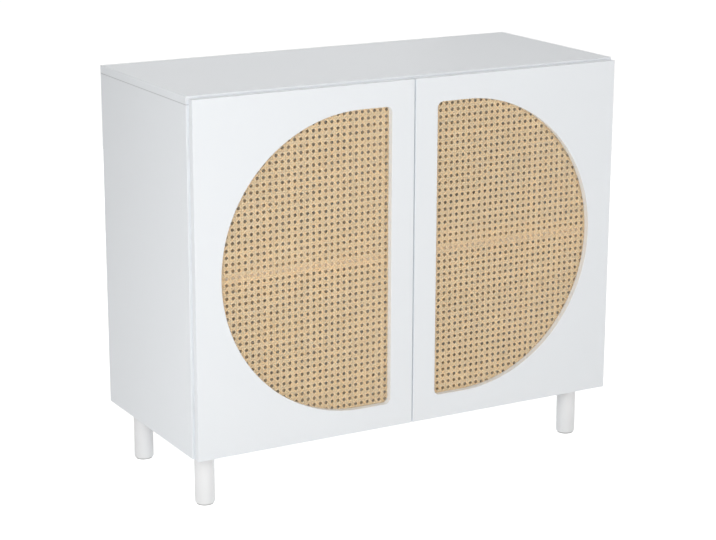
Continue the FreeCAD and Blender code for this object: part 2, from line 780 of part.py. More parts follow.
pivot_pin = rod("pivot_pin", "z", ("pivot_from_edge", PIVOT_Y, "-lug_reach"),
                "pivot_pin_diameter/2", "2*lug_reach")
cup_screws = hinge_screws(
    "cup_screws", [("cup_screw_setback", "wing_thickness", z) for z in both("cup_screw_reach")],
    TO_BACK, "screw_diameter/2 - 0.25", "cup_screw_length")
plate_screws = hinge_screws(
    "plate_screws", [(PLATE_FACE, "plate_screw_setback", z) for z in both("plate_screw_reach")],
    TO_RIGHT, "screw_diameter/2", "plate_screw_length")
arm_screws = hinge_screws(
    "arm_screws", [(ARM_FACE, y, "0") for y in ("arm_screw_front", "arm_screw_rear")],
    TO_RIGHT, "screw_diameter/2", "arm_screw_length")


def cup_can(name, radius, mouth, floor, bend):
    """A round block from a level at its mouth down to its floor, rounded around the floor."""
    body = new_body(name)
    sketch = new_sketch(body, "XZ_Plane", f"-({mouth})")
    draw_circle(sketch, "cup_setback", "0", radius)
    pad(body, sketch, f"({mouth}) - ({floor})")
    soften(body, "Fillet", bend, lambda edge: lies_at(edge, "Y", number(floor)))
    return body


def hinge_cup_master():
    """A drawn round cup with a screw plate, and two lugs inside that carry the pivot pin."""
    can = cup_can("cup_can", "cup_diameter/2", "0", "-cup_depth", "cup_bend")
    hollow = cup_can("cup_hollow", "cup_diameter/2 - cup_wall", "wing_thickness",
                     "-cup_depth + cup_wall", "cup_bend - cup_wall")
    plate = overlap(
        "cup_plate",
        box("cup_plate_block", ("wing_start", "wing_end"), ("0", "wing_thickness"),
            ("-wing_reach", "wing_reach")),
        rod("cup_plate_round", "y", ("(wing_start + wing_end)/2", "0", "0"), "wing_reach",
            "wing_thickness"))
    shell = cut("cup_shell", join("cup_blank", can, plate), hollow)
    lugs = []
    for side, span in (("upper", (SLOT, "lug_reach")), ("lower", ("-lug_reach", f"-{SLOT}"))):
        block = box(f"{side}_lug_block",
                    ("pivot_from_edge - lug_radius - 1", "pivot_from_edge + lug_radius"),
                    ("-cup_depth + cup_wall/2", f"{PIVOT_Y} + lug_radius"), span)
        lugs.append(overlap(f"{side}_lug", block, can))
    notch = box("cup_notch_block", ("0", "pivot_from_edge"), ("-cup_notch", "1"), (f"-{SLOT}", SLOT))
    return cut("hinge_cup_master", join("cup_with_lugs", shell, *lugs), notch, pivot_pin, cup_screws)


def bent_hook():
    """The cranked front of the arm: one strip that bends from the pin out of the cup."""
    body = new_body("arm_hook")
    near = f"{PIVOT_Y} + hook_height/2"
    deep = f"{PIVOT_Y} - hook_height/2"
    root = "arm_start + arm_wall"
    outline = new_sketch(body, "XY_Plane", f"-{EYE}")
    draw_polygon(outline, [("pivot_from_edge", deep), (POST[1], deep), (POST[1], root),
                           (POST[0], root), (POST[0], near), ("pivot_from_edge", near)])
    pad(body, outline, "eye_width")
    for bend, x, y in (("hook_bend", POST[1], deep), ("hook_crook", POST[0], near)):
        soften(body, "Fillet", bend,
               lambda edge: lies_at(edge, "X", number(x)) and lies_at(edge, "Y", number(y)))
    return body


def arm_block(name, x, y, z, bend):
    """A block whose far face and front are rounded, for the outside or the inside of a channel."""
    far = number(reach(x))

    def seen(edge):
        return lies_at(edge, "X", far) or runs_along(edge, "X") and lies_at(edge, "Y", 0)

    return panel(name, x, y, z, seen, bend)


def hinge_arm_master():
    """A pressed channel over the mounting plate's rib, with a cranked hook that ends in the eye."""
    eye = rod("arm_eye", "z", ("pivot_from_edge", PIVOT_Y, f"-{EYE}"), "eye_radius", "eye_width")
    channel = arm_block("arm_channel", (PLATE_FACE, ARM_FACE), ("arm_start", "arm_end"),
                        ("-arm_half_width", "arm_half_width"), "arm_bend")
    hollow = arm_block("arm_hollow", (f"{PLATE_FACE} - 1", f"{ARM_FACE} - arm_wall"),
                       ("arm_start + arm_wall", "arm_end + arm_bend"),
                       ("-arm_half_width + arm_wall", "arm_half_width - arm_wall"),
                       "arm_bend - arm_wall")
    bore = rod("arm_bore", "z", ("pivot_from_edge", PIVOT_Y, f"-{EYE} - 1"),
               "pivot_pin_diameter/2 + pivot_play", "eye_width + 2")
    body = join("arm_with_hook", cut("arm_channel_open", channel, hollow), bent_hook(), eye)
    return cut("hinge_arm_master", body, bore, arm_screws)


def hinge_plate_master():
    """The mounting plate on the side panel: a body with two wings and a rib for the arm."""
    base = panel("plate_base", (INNER_SIDE, PLATE_FACE), ("plate_start", "plate_end"),
                 ("-plate_half_width", "plate_half_width"),
                 lambda edge: runs_along(edge, "X"), "plate_corner")
    wings = overlap(
        "plate_wings",
        box("plate_wing_block", (INNER_SIDE, PLATE_FACE),
            ("plate_screw_setback - plate_wing_width/2", "plate_screw_setback + plate_wing_width/2"),
            ("-plate_wing_reach", "plate_wing_reach")),
        rod("plate_wing_round", "x", (INNER_SIDE, "plate_screw_setback", "0"), "plate_wing_reach",
            "plate_thickness"))
    rib_height = number("plate_rib_height")
    rib = panel("plate_rib", (PLATE_FACE, RIB_FACE), ("plate_start", "plate_end"),
                ("-plate_rib_half_width", "plate_rib_half_width"),
                lambda edge: lies_at(edge, "X", rib_height), "plate_rib_ease")
    return cut("hinge_plate_master", join("plate_blank", base, wings, rib), plate_screws, arm_screws)


both_hinges = list(hinge_places.values())
hinge_pieces = {
    "hinge_cup": hinge_cup_master(),
    "hinge_arm": hinge_arm_master(),
    "hinge_mounting_plate": hinge_plate_master(),
}
for level, place in hinge_places.items():
    for piece, master in hinge_pieces.items():
        mirrored(f"right_{level}_{piece}", group(f"left_{level}_{piece}", master, [place]))
left_pivot_pins = group("left_hinge_pins", pivot_pin, both_hinges)
mirrored("right_hinge_pins", left_pivot_pins)
left_cup_screws = group("left_hinge_cup_screws", cup_screws, both_hinges)
mirrored("right_hinge_cup_screws", left_cup_screws)
plate_screws_in_place = copies("plate_screws_in_place", plate_screws, both_hinges)
hinge_plate_screws = group_of_both_sides("hinge_plate_screws", plate_screws_in_place)
group_of_both_sides("hinge_arm_screws", copies("arm_screws_in_place", arm_screws, both_hinges))


# ---------------------------------------------------------------------------------------------
# Push latches under the top panel, and what they meet on the doors
# ---------------------------------------------------------------------------------------------

EAR_Y = f"({LATCH_FRONT} + latch_ear_setback)"
EAR_X = "(latch_width/2 + latch_ear_reach/2)"

latch_screw_one = headed("latch_screw_one", "screw_diameter/2 - 0.25", "leg_screw_length",
                         "screw_head_diameter/2 - 0.3", "screw_head_height")
left_latch_screws = copies("left_latch_screws", latch_screw_one, [
    at(f"{LATCH_X} + {x}", EAR_Y, f"{CEILING} - latch_ear_thickness", DOWN) for x in both(EAR_X)])
latch_screws = group_of_both_sides("latch_screws", left_latch_screws)


def latch_housing():
    """A rounded housing with two screw ears, bored for the plunger."""
    body = new_body("left_latch_housing")
    profile = new_sketch(body, "XZ_Plane", f"-{LATCH_FRONT} - latch_length")
    draw_rectangle(profile, (f"{LATCH_X} - latch_width/2", f"{LATCH_X} + latch_width/2"),
                   (f"{CEILING} - latch_height", CEILING))
    pad(body, profile, "latch_length")
    soften(body, "Fillet", "latch_corner",
           lambda edge: edge.BoundBox.YLength > number("latch_length") - 1
           and lies_at(edge, "Z", number(f"{CEILING} - latch_height")))
    mouth = new_sketch(body, "XZ_Plane", f"-{LATCH_FRONT}")
    draw_circle(mouth, LATCH_X, LATCH_Z, "plunger_diameter/2 + plunger_play")
    pocket(body, mouth, "plunger_bore")
    ears = panel("latch_ears", (f"{LATCH_X} - latch_width/2 - latch_ear_reach",
                                f"{LATCH_X} + latch_width/2 + latch_ear_reach"),
                 (f"{EAR_Y} - latch_ear_length/2", f"{EAR_Y} + latch_ear_length/2"),
                 (f"{CEILING} - latch_ear_thickness", CEILING),
                 lambda edge: runs_along(edge, "Z"), "latch_ear_corner")
    return cut("latch_with_ears", join("latch_blank", body, ears), left_latch_screws)


left_latch = node("left_latch_housing", latch_housing())
mirrored("right_latch_housing", left_latch)


def latch_plunger():
    """A round plunger whose softened tip faces the strike plate."""
    body = new_body("left_latch_plunger")
    tip = f"(-({DOOR_BACK} + strike_thickness + plunger_gap))"
    sketch = new_sketch(body, "XZ_Plane", f"{tip} - plunger_length")
    draw_circle(sketch, LATCH_X, LATCH_Z, "plunger_diameter/2")
    pad(body, sketch, "plunger_length")
    soften(body, "Fillet", "plunger_tip_radius", lambda edge: lies_at(edge, "Y", -number(tip)))
    return node("left_latch_plunger", body)


mirrored("right_latch_plunger", latch_plunger())

strike_screw_one = headed("strike_screw_one", "strike_screw_diameter/2", "strike_screw_length",
                          "strike_screw_head/2", "strike_screw_head_height")
left_strike_screws = group("left_strike_screws", strike_screw_one, [
    at(LATCH_X, f"{DOOR_BACK} + strike_thickness", f"{LATCH_Z} + {z}", TO_BACK)
    for z in both("strike_screw_reach")])
strike_blank = panel(
    "strike_blank", (f"{LATCH_X} - strike_width/2", f"{LATCH_X} + strike_width/2"),
    (DOOR_BACK, f"{DOOR_BACK} + strike_thickness"),
    (f"{LATCH_Z} - strike_height/2", f"{LATCH_Z} + strike_height/2"),
    lambda edge: runs_along(edge, "Y"), "strike_corner")
left_strike = node("left_strike_plate", cut("strike_drilled", strike_blank, left_strike_screws))
mirrored("right_strike_plate", left_strike)
mirrored("right_strike_screws", left_strike_screws)

bumper_master = rod("bumper_master", "y", ("0", "0", "0"), "bumper_diameter/2",
                    "door_standoff - bumper_gap")
left_bumpers = group("left_door_bumpers", bumper_master, [
    at("-bumper_from_middle", DOOR_BACK, "leg_height + bumper_level_low"),
    at("-bumper_from_middle", DOOR_BACK, f"{TOP} - bumper_level_high")])
mirrored("right_door_bumpers", left_bumpers)


# ---------------------------------------------------------------------------------------------
# Doors, in a frame of their own: X from the hinge edge, Y from the back face, Z from the bottom
# ---------------------------------------------------------------------------------------------

def door_frame():
    """A board with the D-shaped opening, a rebate behind it and bores for the hinge cups."""
    body = new_body("left_door_board")
    outline = new_sketch(body, "XZ_Plane")
    draw_rectangle(outline, ("0", DOOR_WIDTH), ("0", DOOR_HEIGHT))
    draw_opening(outline)
    pad(body, outline, "door_thickness")
    face = -number("door_thickness")
    soften(body, "Fillet", "edge_ease", lambda edge: lies_at(edge, "Y", face))
    soften(body, "Chamfer", "door_chamfer",
           lambda edge: lies_at(edge, "Y", 0) and not inside_opening(edge))
    ledge = new_sketch(body, "XZ_Plane")
    draw_opening(ledge, "rebate_width")
    pocket(body, ledge, "rebate_depth", along_normal=True)
    cups = new_sketch(body, "XZ_Plane")
    for level in ("hinge_inset", f"{DOOR_HEIGHT} - hinge_inset"):
        draw_circle(cups, "cup_setback", level, "cup_diameter/2 + cup_play")
    pocket(body, cups, "cup_depth + cup_play", along_normal=True)
    stand(body, DOOR_EDGE, DOOR_BACK, "leg_height")
    return cut("left_door_drilled", body, left_cup_screws, left_strike_screws)


def inside_opening(edge):
    """Whether an edge of a door belongs to its opening, not to its outline."""
    limits = edge.BoundBox
    margin = 1.0
    return (limits.XMin > margin and limits.XMax < number(DOOR_WIDTH) - margin
            and limits.ZMin > margin and limits.ZMax < number(DOOR_HEIGHT) - margin)


def cane_opening_places():
    """The grid's columns count from the opening's straight side, its rows from its middle."""
    straight = f"{DOOR_EDGE} + {DOOR_WIDTH} - opening_middle_margin"
    width = number(f"{DOOR_WIDTH} - opening_middle_margin - opening_side_margin")
    columns = math.ceil(width/number("cane_pitch"))
    rows = math.ceil(number("opening_radius - cane_opening/2")/number("cane_pitch"))
    back = f"{DOOR_BACK} - rebate_depth + cane_thickness + 1"
    middle = f"leg_height + {DOOR_HEIGHT}/2"
    return [at(f"{straight} - ({column} + 0.5)*cane_pitch", back, f"{middle} + {row}*cane_pitch")
            for column in range(columns) for row in range(-rows, rows + 1)]


def cane_openings():
    """Eight-sided openings as the weave has, four meshes apart, inside the door's opening."""
    master = new_body("cane_opening_master")
    outline = new_sketch(master, "XZ_Plane")
    half = "cane_opening/2"
    short = "cane_opening*(sqrt(2) - 1)/2"
    draw_polygon(outline, [(half, f"-{short}"), (half, short), (short, half), (f"-{short}", half),
                           (f"-{half}", short), (f"-{half}", f"-{short}"), (f"-{short}", f"-{half}"),
                           (short, f"-{half}")])
    pad(master, outline, "cane_thickness + 2")
    window = new_body("cane_window")
    rim = new_sketch(window, "XZ_Plane", "rebate_depth - cane_thickness - 1")
    draw_opening(rim, "-cane_rim")
    pad(window, rim, "cane_thickness + 2")
    stand(window, DOOR_EDGE, DOOR_BACK, "leg_height")
    doc.recompute()
    whole = master.Shape.Volume
    seen = overlap("cane_openings_seen", copies("cane_grid", master, cane_opening_places()), window)
    doc.recompute()
    kept = doc.addObject("Part::Feature", "cane_openings_kept")
    kept.Shape = Part.makeCompound([solid for solid in seen.Shape.Solids
                                    if solid.Volume > whole/4])
    return kept


def cane_panel():
    """The woven cane as one sheet in the rebate, with a coarse grid of openings for its mesh."""
    body = new_body("left_cane_sheet")
    sheet_sketch = new_sketch(body, "XZ_Plane", "rebate_depth - cane_thickness")
    draw_opening(sheet_sketch, "rebate_width - cane_play")
    pad(body, sheet_sketch, "cane_thickness")
    stand(body, DOOR_EDGE, DOOR_BACK, "leg_height")
    return cut("left_cane_pierced", body, cane_openings())


def retaining_strip():
    """A thin strip bent along the D outline, behind the edge of the cane."""
    body = new_body("left_cane_strip")
    ring = new_sketch(body, "XZ_Plane", "rebate_depth - cane_thickness - strip_thickness")
    draw_opening(ring, "rebate_width - cane_play")
    draw_opening(ring, "rebate_width - cane_play - strip_width")
    pad(body, ring, "strip_thickness")
    stand(body, DOOR_EDGE, DOOR_BACK, "leg_height")
    return body


left_door = node("left_door_frame", door_frame())
left_cane = node("left_cane_panel", cane_panel())
left_strip = node("left_cane_retaining_strip", retaining_strip())
mirrored("right_door_frame", left_door)
mirrored("right_cane_panel", left_cane)
mirrored("right_cane_retaining_strip", left_strip)


# ---------------------------------------------------------------------------------------------
# Carcass boards, drilled for what they hold
# ---------------------------------------------------------------------------------------------

cam_bore_master = join(
    "cam_bore_master",
    rod("cam_bore_drum", "z", ("0", "0", "-cam_height - cam_play"), "cam_diameter/2 + cam_play",
        "cam_height + cam_play + 1"),
    rod("cam_bore_passage", "y", ("0", "-cam_setback - 1", "-board/2"), "cam_socket_diameter/2",
        "cam_setback + 1"))
cam_bores = copies("cam_bores", cam_bore_master, cam_places)

SPAN_Y = (FRONT, REAR)
top_panel = panel("top_board", (LEFT, f"-{LEFT}"), SPAN_Y, (CEILING, TOP), any_edge)
node("top_panel", cut("top_drilled", top_panel, cam_bolts, dowels, nails, latch_screws))

bottom_panel = panel("bottom_board", (f"{LEFT} + board", f"-{LEFT} - board"), SPAN_Y,
                     ("leg_height", FLOOR), front_edge)
node("bottom_panel", cut("bottom_drilled", bottom_panel, cam_bores, dowels, divider_screws,
                         hanger_bolts, leg_screws, nails))

side_panel = panel("side_board", (LEFT, f"{LEFT} + board"), SPAN_Y, ("leg_height", CEILING),
                   any_edge)
left_side = node("left_side_panel", cut("left_side_drilled", side_panel, cam_bores, cam_bolts,
                                        dowels, hinge_plate_screws, shelf_pins, nails))
mirrored("right_side_panel", left_side)

divider_board = panel("divider_board", ("-board/2", "board/2"), SPAN_Y, (FLOOR, CEILING), front_edge)
node("centre_divider", cut("divider_drilled", divider_board, cam_bores, dowels, divider_screws,
                           shelf_pins, nails))

shelf = panel("left_shelf", (f"{LEFT} + board + shelf_play", "-board/2 - shelf_play"),
              (f"{FRONT} + shelf_setback", f"{REAR} - shelf_play"), (SHELF, f"{SHELF} + board"),
              front_edge)
node("left_shelf", shelf)
mirrored("right_shelf", shelf)

back_board = panel("back_board", (f"{LEFT} + back_inset", f"-{LEFT} - back_inset"),
                   (REAR, f"{REAR} + back_thickness"),
                   ("leg_height + back_inset", f"{TOP} - back_inset"))
node("back_panel", cut("back_drilled", back_board, nails))


# ---------------------------------------------------------------------------------------------
# Checks and export
# ---------------------------------------------------------------------------------------------

doc.recompute()
for item in doc.Objects:
    if "Invalid" in item.State or "Error" in item.State:
        raise RuntimeError(f"{item.Label} did not build")
for label, item in nodes.items():
    if item.Shape.isNull() or not item.Shape.isValid() or not item.Shape.Solids:
        raise RuntimeError(f"{label} has no valid solid")
if len(nodes) > 60:
    raise RuntimeError("too many sub-parts")

os.makedirs("parts", exist_ok=True)
for label, item in nodes.items():
    item.Shape.exportStep(f"parts/{label}.step")
    print(f"{label}: {len(item.Shape.Solids)} solids, {item.Shape.Volume/1000:.1f} cm3")
print(len(nodes), "sub-parts")
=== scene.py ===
"""Record cabinet: painted boards, woven cane doors, concealed hinges, push latches and round legs.

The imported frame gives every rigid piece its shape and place.  This script weaves the two cane
panels strand by strand, turns the screws, gives every piece its finish, and sets up a plain
studio.  Lengths are in metres, +X to the right, +Y to the back, +Z up.
"""

import logging
import math
from dataclasses import asdict, dataclass, field
from enum import Enum

import bpy
import numpy as np
from mathutils import Matrix, Vector


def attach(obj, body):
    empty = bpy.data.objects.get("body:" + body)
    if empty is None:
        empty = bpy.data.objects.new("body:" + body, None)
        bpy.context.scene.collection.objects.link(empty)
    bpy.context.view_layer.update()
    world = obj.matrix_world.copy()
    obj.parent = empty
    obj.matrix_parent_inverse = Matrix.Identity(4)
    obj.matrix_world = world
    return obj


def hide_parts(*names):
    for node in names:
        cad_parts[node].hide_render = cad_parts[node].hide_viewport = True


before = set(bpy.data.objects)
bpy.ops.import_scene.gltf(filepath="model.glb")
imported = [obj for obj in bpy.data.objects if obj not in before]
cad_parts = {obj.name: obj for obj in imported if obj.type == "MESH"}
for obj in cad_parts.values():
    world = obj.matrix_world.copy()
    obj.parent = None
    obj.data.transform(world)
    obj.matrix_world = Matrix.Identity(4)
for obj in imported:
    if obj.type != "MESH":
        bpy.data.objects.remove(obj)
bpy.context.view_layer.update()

log = logging.getLogger("record_cabinet")

Colour = tuple[float, float, float]
Socket = bpy.types.NodeSocket
Feed = Socket | float | Colour


# ------------------------------------------------------------------------------ shader helpers


@dataclass(frozen=True)
class NodeTree:
    """A thin wrapper around one node tree that adds and links nodes in single calls.

    Attributes:
        tree: the node tree to fill.
    """

    tree: bpy.types.NodeTree

    # A Mix node has sockets for every kind of data, and its colours are known by number.
    MIX_FIRST = 6
    MIX_SECOND = 7
    MIX_RESULT = 2

    def plug(self, socket: Socket, value: Feed) -> None:
        """Links a value into an input if it comes from a node, and otherwise sets it there.

        Args:
            socket: the input.
            value: another node's output, or a plain number, vector or colour.
        """
        if isinstance(value, Socket):
            self.tree.links.new(value, socket)
        elif socket.type == "RGBA":
            socket.default_value = (*value, 1.0)
        else:
            socket.default_value = value

    def add(
        self, kind: str, inputs: dict[str | int, Feed] | None = None, **settings: object
    ) -> bpy.types.Node:
        """Adds a node, sets its properties, and sets or links its inputs.

        Args:
            kind: the node's type name.
            inputs: input name or number, and what goes in.
            **settings: properties of the node itself.

        Returns:
            The new node.
        """
        node = self.tree.nodes.new(kind)
        for name, value in settings.items():
            setattr(node, name, value)
        for key, value in (inputs or {}).items():
            self.plug(node.inputs[key], value)
        return node

    def position(self) -> Socket:
        """The place on the piece, in metres, that moves with the piece."""
        return self.add("ShaderNodeTexCoord").outputs["Object"]

    def math(self, operation: str, first: Feed, second: Feed = 0.0) -> Socket:
        """One arithmetic step on two values."""
        return self.add("ShaderNodeMath", {0: first, 1: second}, operation=operation).outputs[0]

    def stretch(self, value: Socket, low: float, high: float) -> Socket:
        """Maps a value that runs from 0 to 1 onto the span from low to high."""
        inputs = {"Value": value, "To Min": low, "To Max": high}
        return self.add("ShaderNodeMapRange", inputs).outputs["Result"]

    def noise(self, position: Socket, rate: Feed, detail: float) -> Socket:
        """Noise from 0 to 1, with so many patches per unit of the position."""
        inputs = {"Vector": position, "Scale": rate, "Detail": detail}
        return self.add("ShaderNodeTexNoise", inputs).outputs[0]

    def around_one(self, noise: Socket, depth: Socket) -> Socket:
        """Turns noise into a shade about 1 that swings by a depth."""
        swing = self.math("MULTIPLY", self.math("SUBTRACT", noise, 0.5), depth)
        return self.math("ADD", swing, 1.0)

    def blend(self, mask: Feed, first: Feed, second: Feed, kind: str = "MIX") -> Socket:
        """Blends two colours.

        Args:
            mask: how far to go from the first colour to the blend, from 0 to 1.
            first: the first colour.
            second: the second colour.
            kind: how the two are blended.

        Returns:
            The blended colour.
        """
        inputs = {"Factor": mask, self.MIX_FIRST: first, self.MIX_SECOND: second}
        mix = self.add("ShaderNodeMix", inputs, data_type="RGBA", blend_type=kind)
        return mix.outputs[self.MIX_RESULT]

    def tint(self, colour: Feed, shade: Socket) -> Socket:
        """Multiplies a colour by a shade that changes over the surface."""
        return self.blend(1.0, colour, shade, "MULTIPLY")


def empty_tree(owner: bpy.types.Material | bpy.types.World) -> NodeTree:
    """Gives a material or a world an empty node tree.

    Args:
        owner: the material or the world.

    Returns:
        The tree.
    """
    owner.use_nodes = True
    owner.node_tree.nodes.clear()
    return NodeTree(owner.node_tree)


def new_object(name: str, data: bpy.types.ID) -> bpy.types.Object:
    """Makes an object and puts it in the scene.

    Args:
        name: the object's name.
        data: its mesh, lamp or camera.

    Returns:
        The object.
    """
    thing = bpy.data.objects.new(name, data)
    bpy.context.scene.collection.objects.link(thing)
    return thing


class SocketKind(Enum):
    """The kinds of socket that the shared effects use."""

    VALUE = "NodeSocketFloat"
    VECTOR = "NodeSocketVector"


@dataclass(frozen=True)
class Effect:
    """An effect that materials share: a node group from a position to a relief and a shade.

    The fields of each kind of effect are the value inputs of its group.
    """

    GROUP = "effect"

    def place(self, tree: NodeTree, position: Socket) -> dict[str, Socket]:
        """Places the effect in a material.

        Args:
            tree: the material's nodes.
            position: the position that it is measured on.

        Returns:
            The outputs Height, from 0 to 1, and Shade, about 1.
        """
        values = {key.replace("_", " ").title(): value for key, value in asdict(self).items()}
        inputs = {"Position": position, **values}
        return tree.add("ShaderNodeGroup", inputs, node_tree=self.group(values)).outputs

    def group(self, values: dict[str, float]) -> bpy.types.NodeTree:
        """Builds the node group once, or returns the one that exists.

        Args:
            values: its value inputs, each with a default.

        Returns:
            The group.
        """
        if self.GROUP in bpy.data.node_groups:
            return bpy.data.node_groups[self.GROUP]
        group = bpy.data.node_groups.new(self.GROUP, "ShaderNodeTree")
        group.interface.new_socket("Position", in_out="INPUT", socket_type=SocketKind.VECTOR.value)
        for label, default in values.items():
            socket = group.interface.new_socket(label, in_out="INPUT", socket_type=SocketKind.VALUE.value)
            socket.default_value = default
        for label in ("Height", "Shade"):
            group.interface.new_socket(label, in_out="OUTPUT", socket_type=SocketKind.VALUE.value)
        tree = NodeTree(group)
        tree.add("NodeGroupOutput", self.inside(tree, tree.add("NodeGroupInput").outputs))
        return group

    @staticmethod
    def inside(tree: NodeTree, given: dict[str, Socket]) -> dict[str, Socket]:
        """Makes the nodes in the group, from its inputs to its outputs."""
        raise NotImplementedError


@dataclass(frozen=True)
class Film(Effect):
    """The slight unevenness of a sprayed, moulded or pressed surface.

    Attributes:
        ripple_size: size of its ripples.
        cloud_size: size of its clouds.
        cloud_depth: how far the clouds lighten and darken it.
    """

    ripple_size: float
    cloud_size: float
    cloud_depth: float

    GROUP = "surface_film"

    @staticmethod
    def inside(tree: NodeTree, given: dict[str, Socket]) -> dict[str, Socket]:
        """Makes the nodes in the group.

        Args:
            tree: the group's nodes.
            given: its inputs.

        Returns:
            What goes to its outputs.
        """
        ripple_rate = tree.math("DIVIDE", 1.0, given["Ripple Size"])
        ripple = tree.noise(given["Position"], ripple_rate, 2.0)
        cloud_rate = tree.math("DIVIDE", 1.0, given["Cloud Size"])
        cloud = tree.noise(given["Position"], cloud_rate, 3.0)
        return {"Height": ripple, "Shade": tree.around_one(cloud, given["Cloud Depth"])}


@dataclass(frozen=True)
class Fibre(Effect):
    """Fibres that run along the first axis of the position: cane, wood or drawn metal.

    Attributes:
        length: length of a fibre.
        breadth: breadth of a fibre.
        contrast: how far fibres differ in shade.
    """

    length: float
    breadth: float
    contrast: float

    GROUP = "plant_fibre"

    @staticmethod
    def inside(tree: NodeTree, given: dict[str, Socket]) -> dict[str, Socket]:
        """Makes the nodes in the group.

        Args:
            tree: the group's nodes.
            given: its inputs.

        Returns:
            What goes to its outputs.
        """
        along = tree.math("DIVIDE", 1.0, given["Length"])
        across = tree.math("DIVIDE", 1.0, given["Breadth"])
        rates = tree.add("ShaderNodeCombineXYZ", {"X": along, "Y": across, "Z": across}).outputs[0]
        inputs = {0: given["Position"], 1: rates}
        scaled = tree.add("ShaderNodeVectorMath", inputs, operation="MULTIPLY").outputs[0]
        streak = tree.noise(scaled, 1.0, 4.0)
        return {"Height": streak, "Shade": tree.around_one(streak, given["Contrast"])}


# ------------------------------------------------------------------------------------ finishes


@dataclass(frozen=True)
class Finish:
    """What every finish has: a colour, a roughness, and a grain that varies them.

    Attributes:
        name: the finish's name.
        colour: linear base colour.
        roughness: roughness of the surface.
        relief: depth of the fine relief.
        bump: how strongly the relief shows.
        grain: the effect that makes the relief and shades the colour.
        rough_spread: what the grain adds to the roughness, from least to most.
        metallic: 1 for metal.
        sheen: how much the surface lights up at the rim.
    """

    name: str
    colour: Colour
    roughness: float
    relief: float = 0.00002
    bump: float = 0.25
    grain: Effect = Film(ripple_size=0.0012, cloud_size=0.25, cloud_depth=0.02)
    rough_spread: tuple[float, float] | None = None
    metallic: float = 0.0
    sheen: float = 0.0

    def material(self) -> bpy.types.Material:
        """Builds the material once, or returns the one that exists.

        Returns:
            The finished material.
        """
        name = f"{self.name}_finish"
        if name in bpy.data.materials:
            return bpy.data.materials[name]
        material = bpy.data.materials.new(name)
        tree = empty_tree(material)
        inputs = {"Roughness": self.roughness, "Metallic": self.metallic, "Sheen Weight": self.sheen}
        shader = tree.add("ShaderNodeBsdfPrincipled", inputs)
        grain = self.grain.place(tree, self.run(tree))
        tree.plug(shader.inputs["Base Color"], self.paint(tree, grain["Shade"]))
        if self.rough_spread is not None:
            low, high = (self.roughness + change for change in self.rough_spread)
            tree.plug(shader.inputs["Roughness"], tree.stretch(grain["Height"], low, high))
        inputs = {"Height": grain["Height"], "Strength": self.bump, "Distance": self.relief}
        tree.plug(shader.inputs["Normal"], tree.add("ShaderNodeBump", inputs).outputs[0])
        tree.add("ShaderNodeOutputMaterial", {"Surface": self.surface(tree, shader)})
        return material

    def run(self, tree: NodeTree) -> Socket:
        """What the grain is measured on: the place on the piece, unless a finish has its own."""
        return tree.position()

    def paint(self, tree: NodeTree, shade: Socket) -> Socket:
        """The colour over the surface: the base colour, shaded, unless a finish has more."""
        return tree.tint(self.colour, shade)

    def surface(self, tree: NodeTree, shader: bpy.types.Node) -> Socket:
        """What the material shows: the plain shader, unless a finish lets light through."""
        return shader.outputs[0]


@dataclass(frozen=True)
class SprayedPaint(Finish):
    """Satin paint, sprayed on fibreboard or wood: faint orange peel and faint clouding.

    Attributes:
        joint: height of the joint with the next board, where painted shade lies along the eased edges.
        joint_reach: how far the painted shade reaches from the joint.
        joint_shade: how dark the painted shade is at the bottom of that groove, next to the board.
        joint_face: distance from the middle beyond which the joint is open to view.
    """

    rough_spread: tuple[float, float] | None = (-0.04, 0.04)
    joint: float | None = None
    joint_reach: float = 0.001
    joint_shade: float = 0.55
    joint_face: float = 0.45

    def paint(self, tree: NodeTree, shade: Socket) -> Socket:
        """Paints shade into the groove of a joint, on the faces that are open to view.

        Args:
            tree: the material's nodes.
            shade: the shade of the film.

        Returns:
            The colour over the surface.
        """
        if self.joint is not None:
            # Painted shade: the paint is darkened along the joint, on the outer faces only.
            place = tree.add("ShaderNodeSeparateXYZ", {0: tree.position()}).outputs
            distance = tree.math("ABSOLUTE", tree.math("SUBTRACT", place["Z"], self.joint))
            covered = tree.math("LESS_THAN", tree.math("ABSOLUTE", place["X"]), self.joint_face)
            clear = tree.math("MAXIMUM", tree.math("DIVIDE", distance, self.joint_reach), covered)
            groove = tree.stretch(tree.math("MINIMUM", clear, 1.0), self.joint_shade, 1.0)
            shade = tree.math("MULTIPLY", shade, groove)
        return tree.tint(self.colour, shade)


@dataclass(frozen=True)
class FacedHardboard(Finish):
    """Thin hardboard with a smooth white face inside and a bare, mottled rear.

    Attributes:
        rear_colour: colour of the bare rear.
        chip_colour: colour of the lighter chips in it.
        chip_rate: chips per metre.
        chip_spread: how much of the chips' colour shows, from least to most.
    """

    relief: float = 0.00006
    bump: float = 0.5
    grain: Effect = Film(ripple_size=0.0009, cloud_size=0.02, cloud_depth=0.22)
    rear_colour: Colour = (0.42, 0.29, 0.18)
    chip_colour: Colour = (0.55, 0.41, 0.27)
    chip_rate: float = 900.0
    chip_spread: tuple[float, float] = (-0.3, 0.7)

    def paint(self, tree: NodeTree, shade: Socket) -> Socket:
        """Paints the front, and leaves the rear bare.

        Args:
            tree: the material's nodes.
            shade: the mottling.

        Returns:
            The colour over the surface.
        """
        chips = tree.stretch(tree.noise(tree.position(), self.chip_rate, 3.0), *self.chip_spread)
        rear = tree.blend(chips, tree.tint(self.rear_colour, shade), self.chip_colour)
        normal = tree.add("ShaderNodeTexCoord").outputs["Normal"]
        backward = tree.add("ShaderNodeSeparateXYZ", {0: normal}).outputs["Y"]
        return tree.blend(tree.math("GREATER_THAN", backward, 0.5), self.colour, rear)


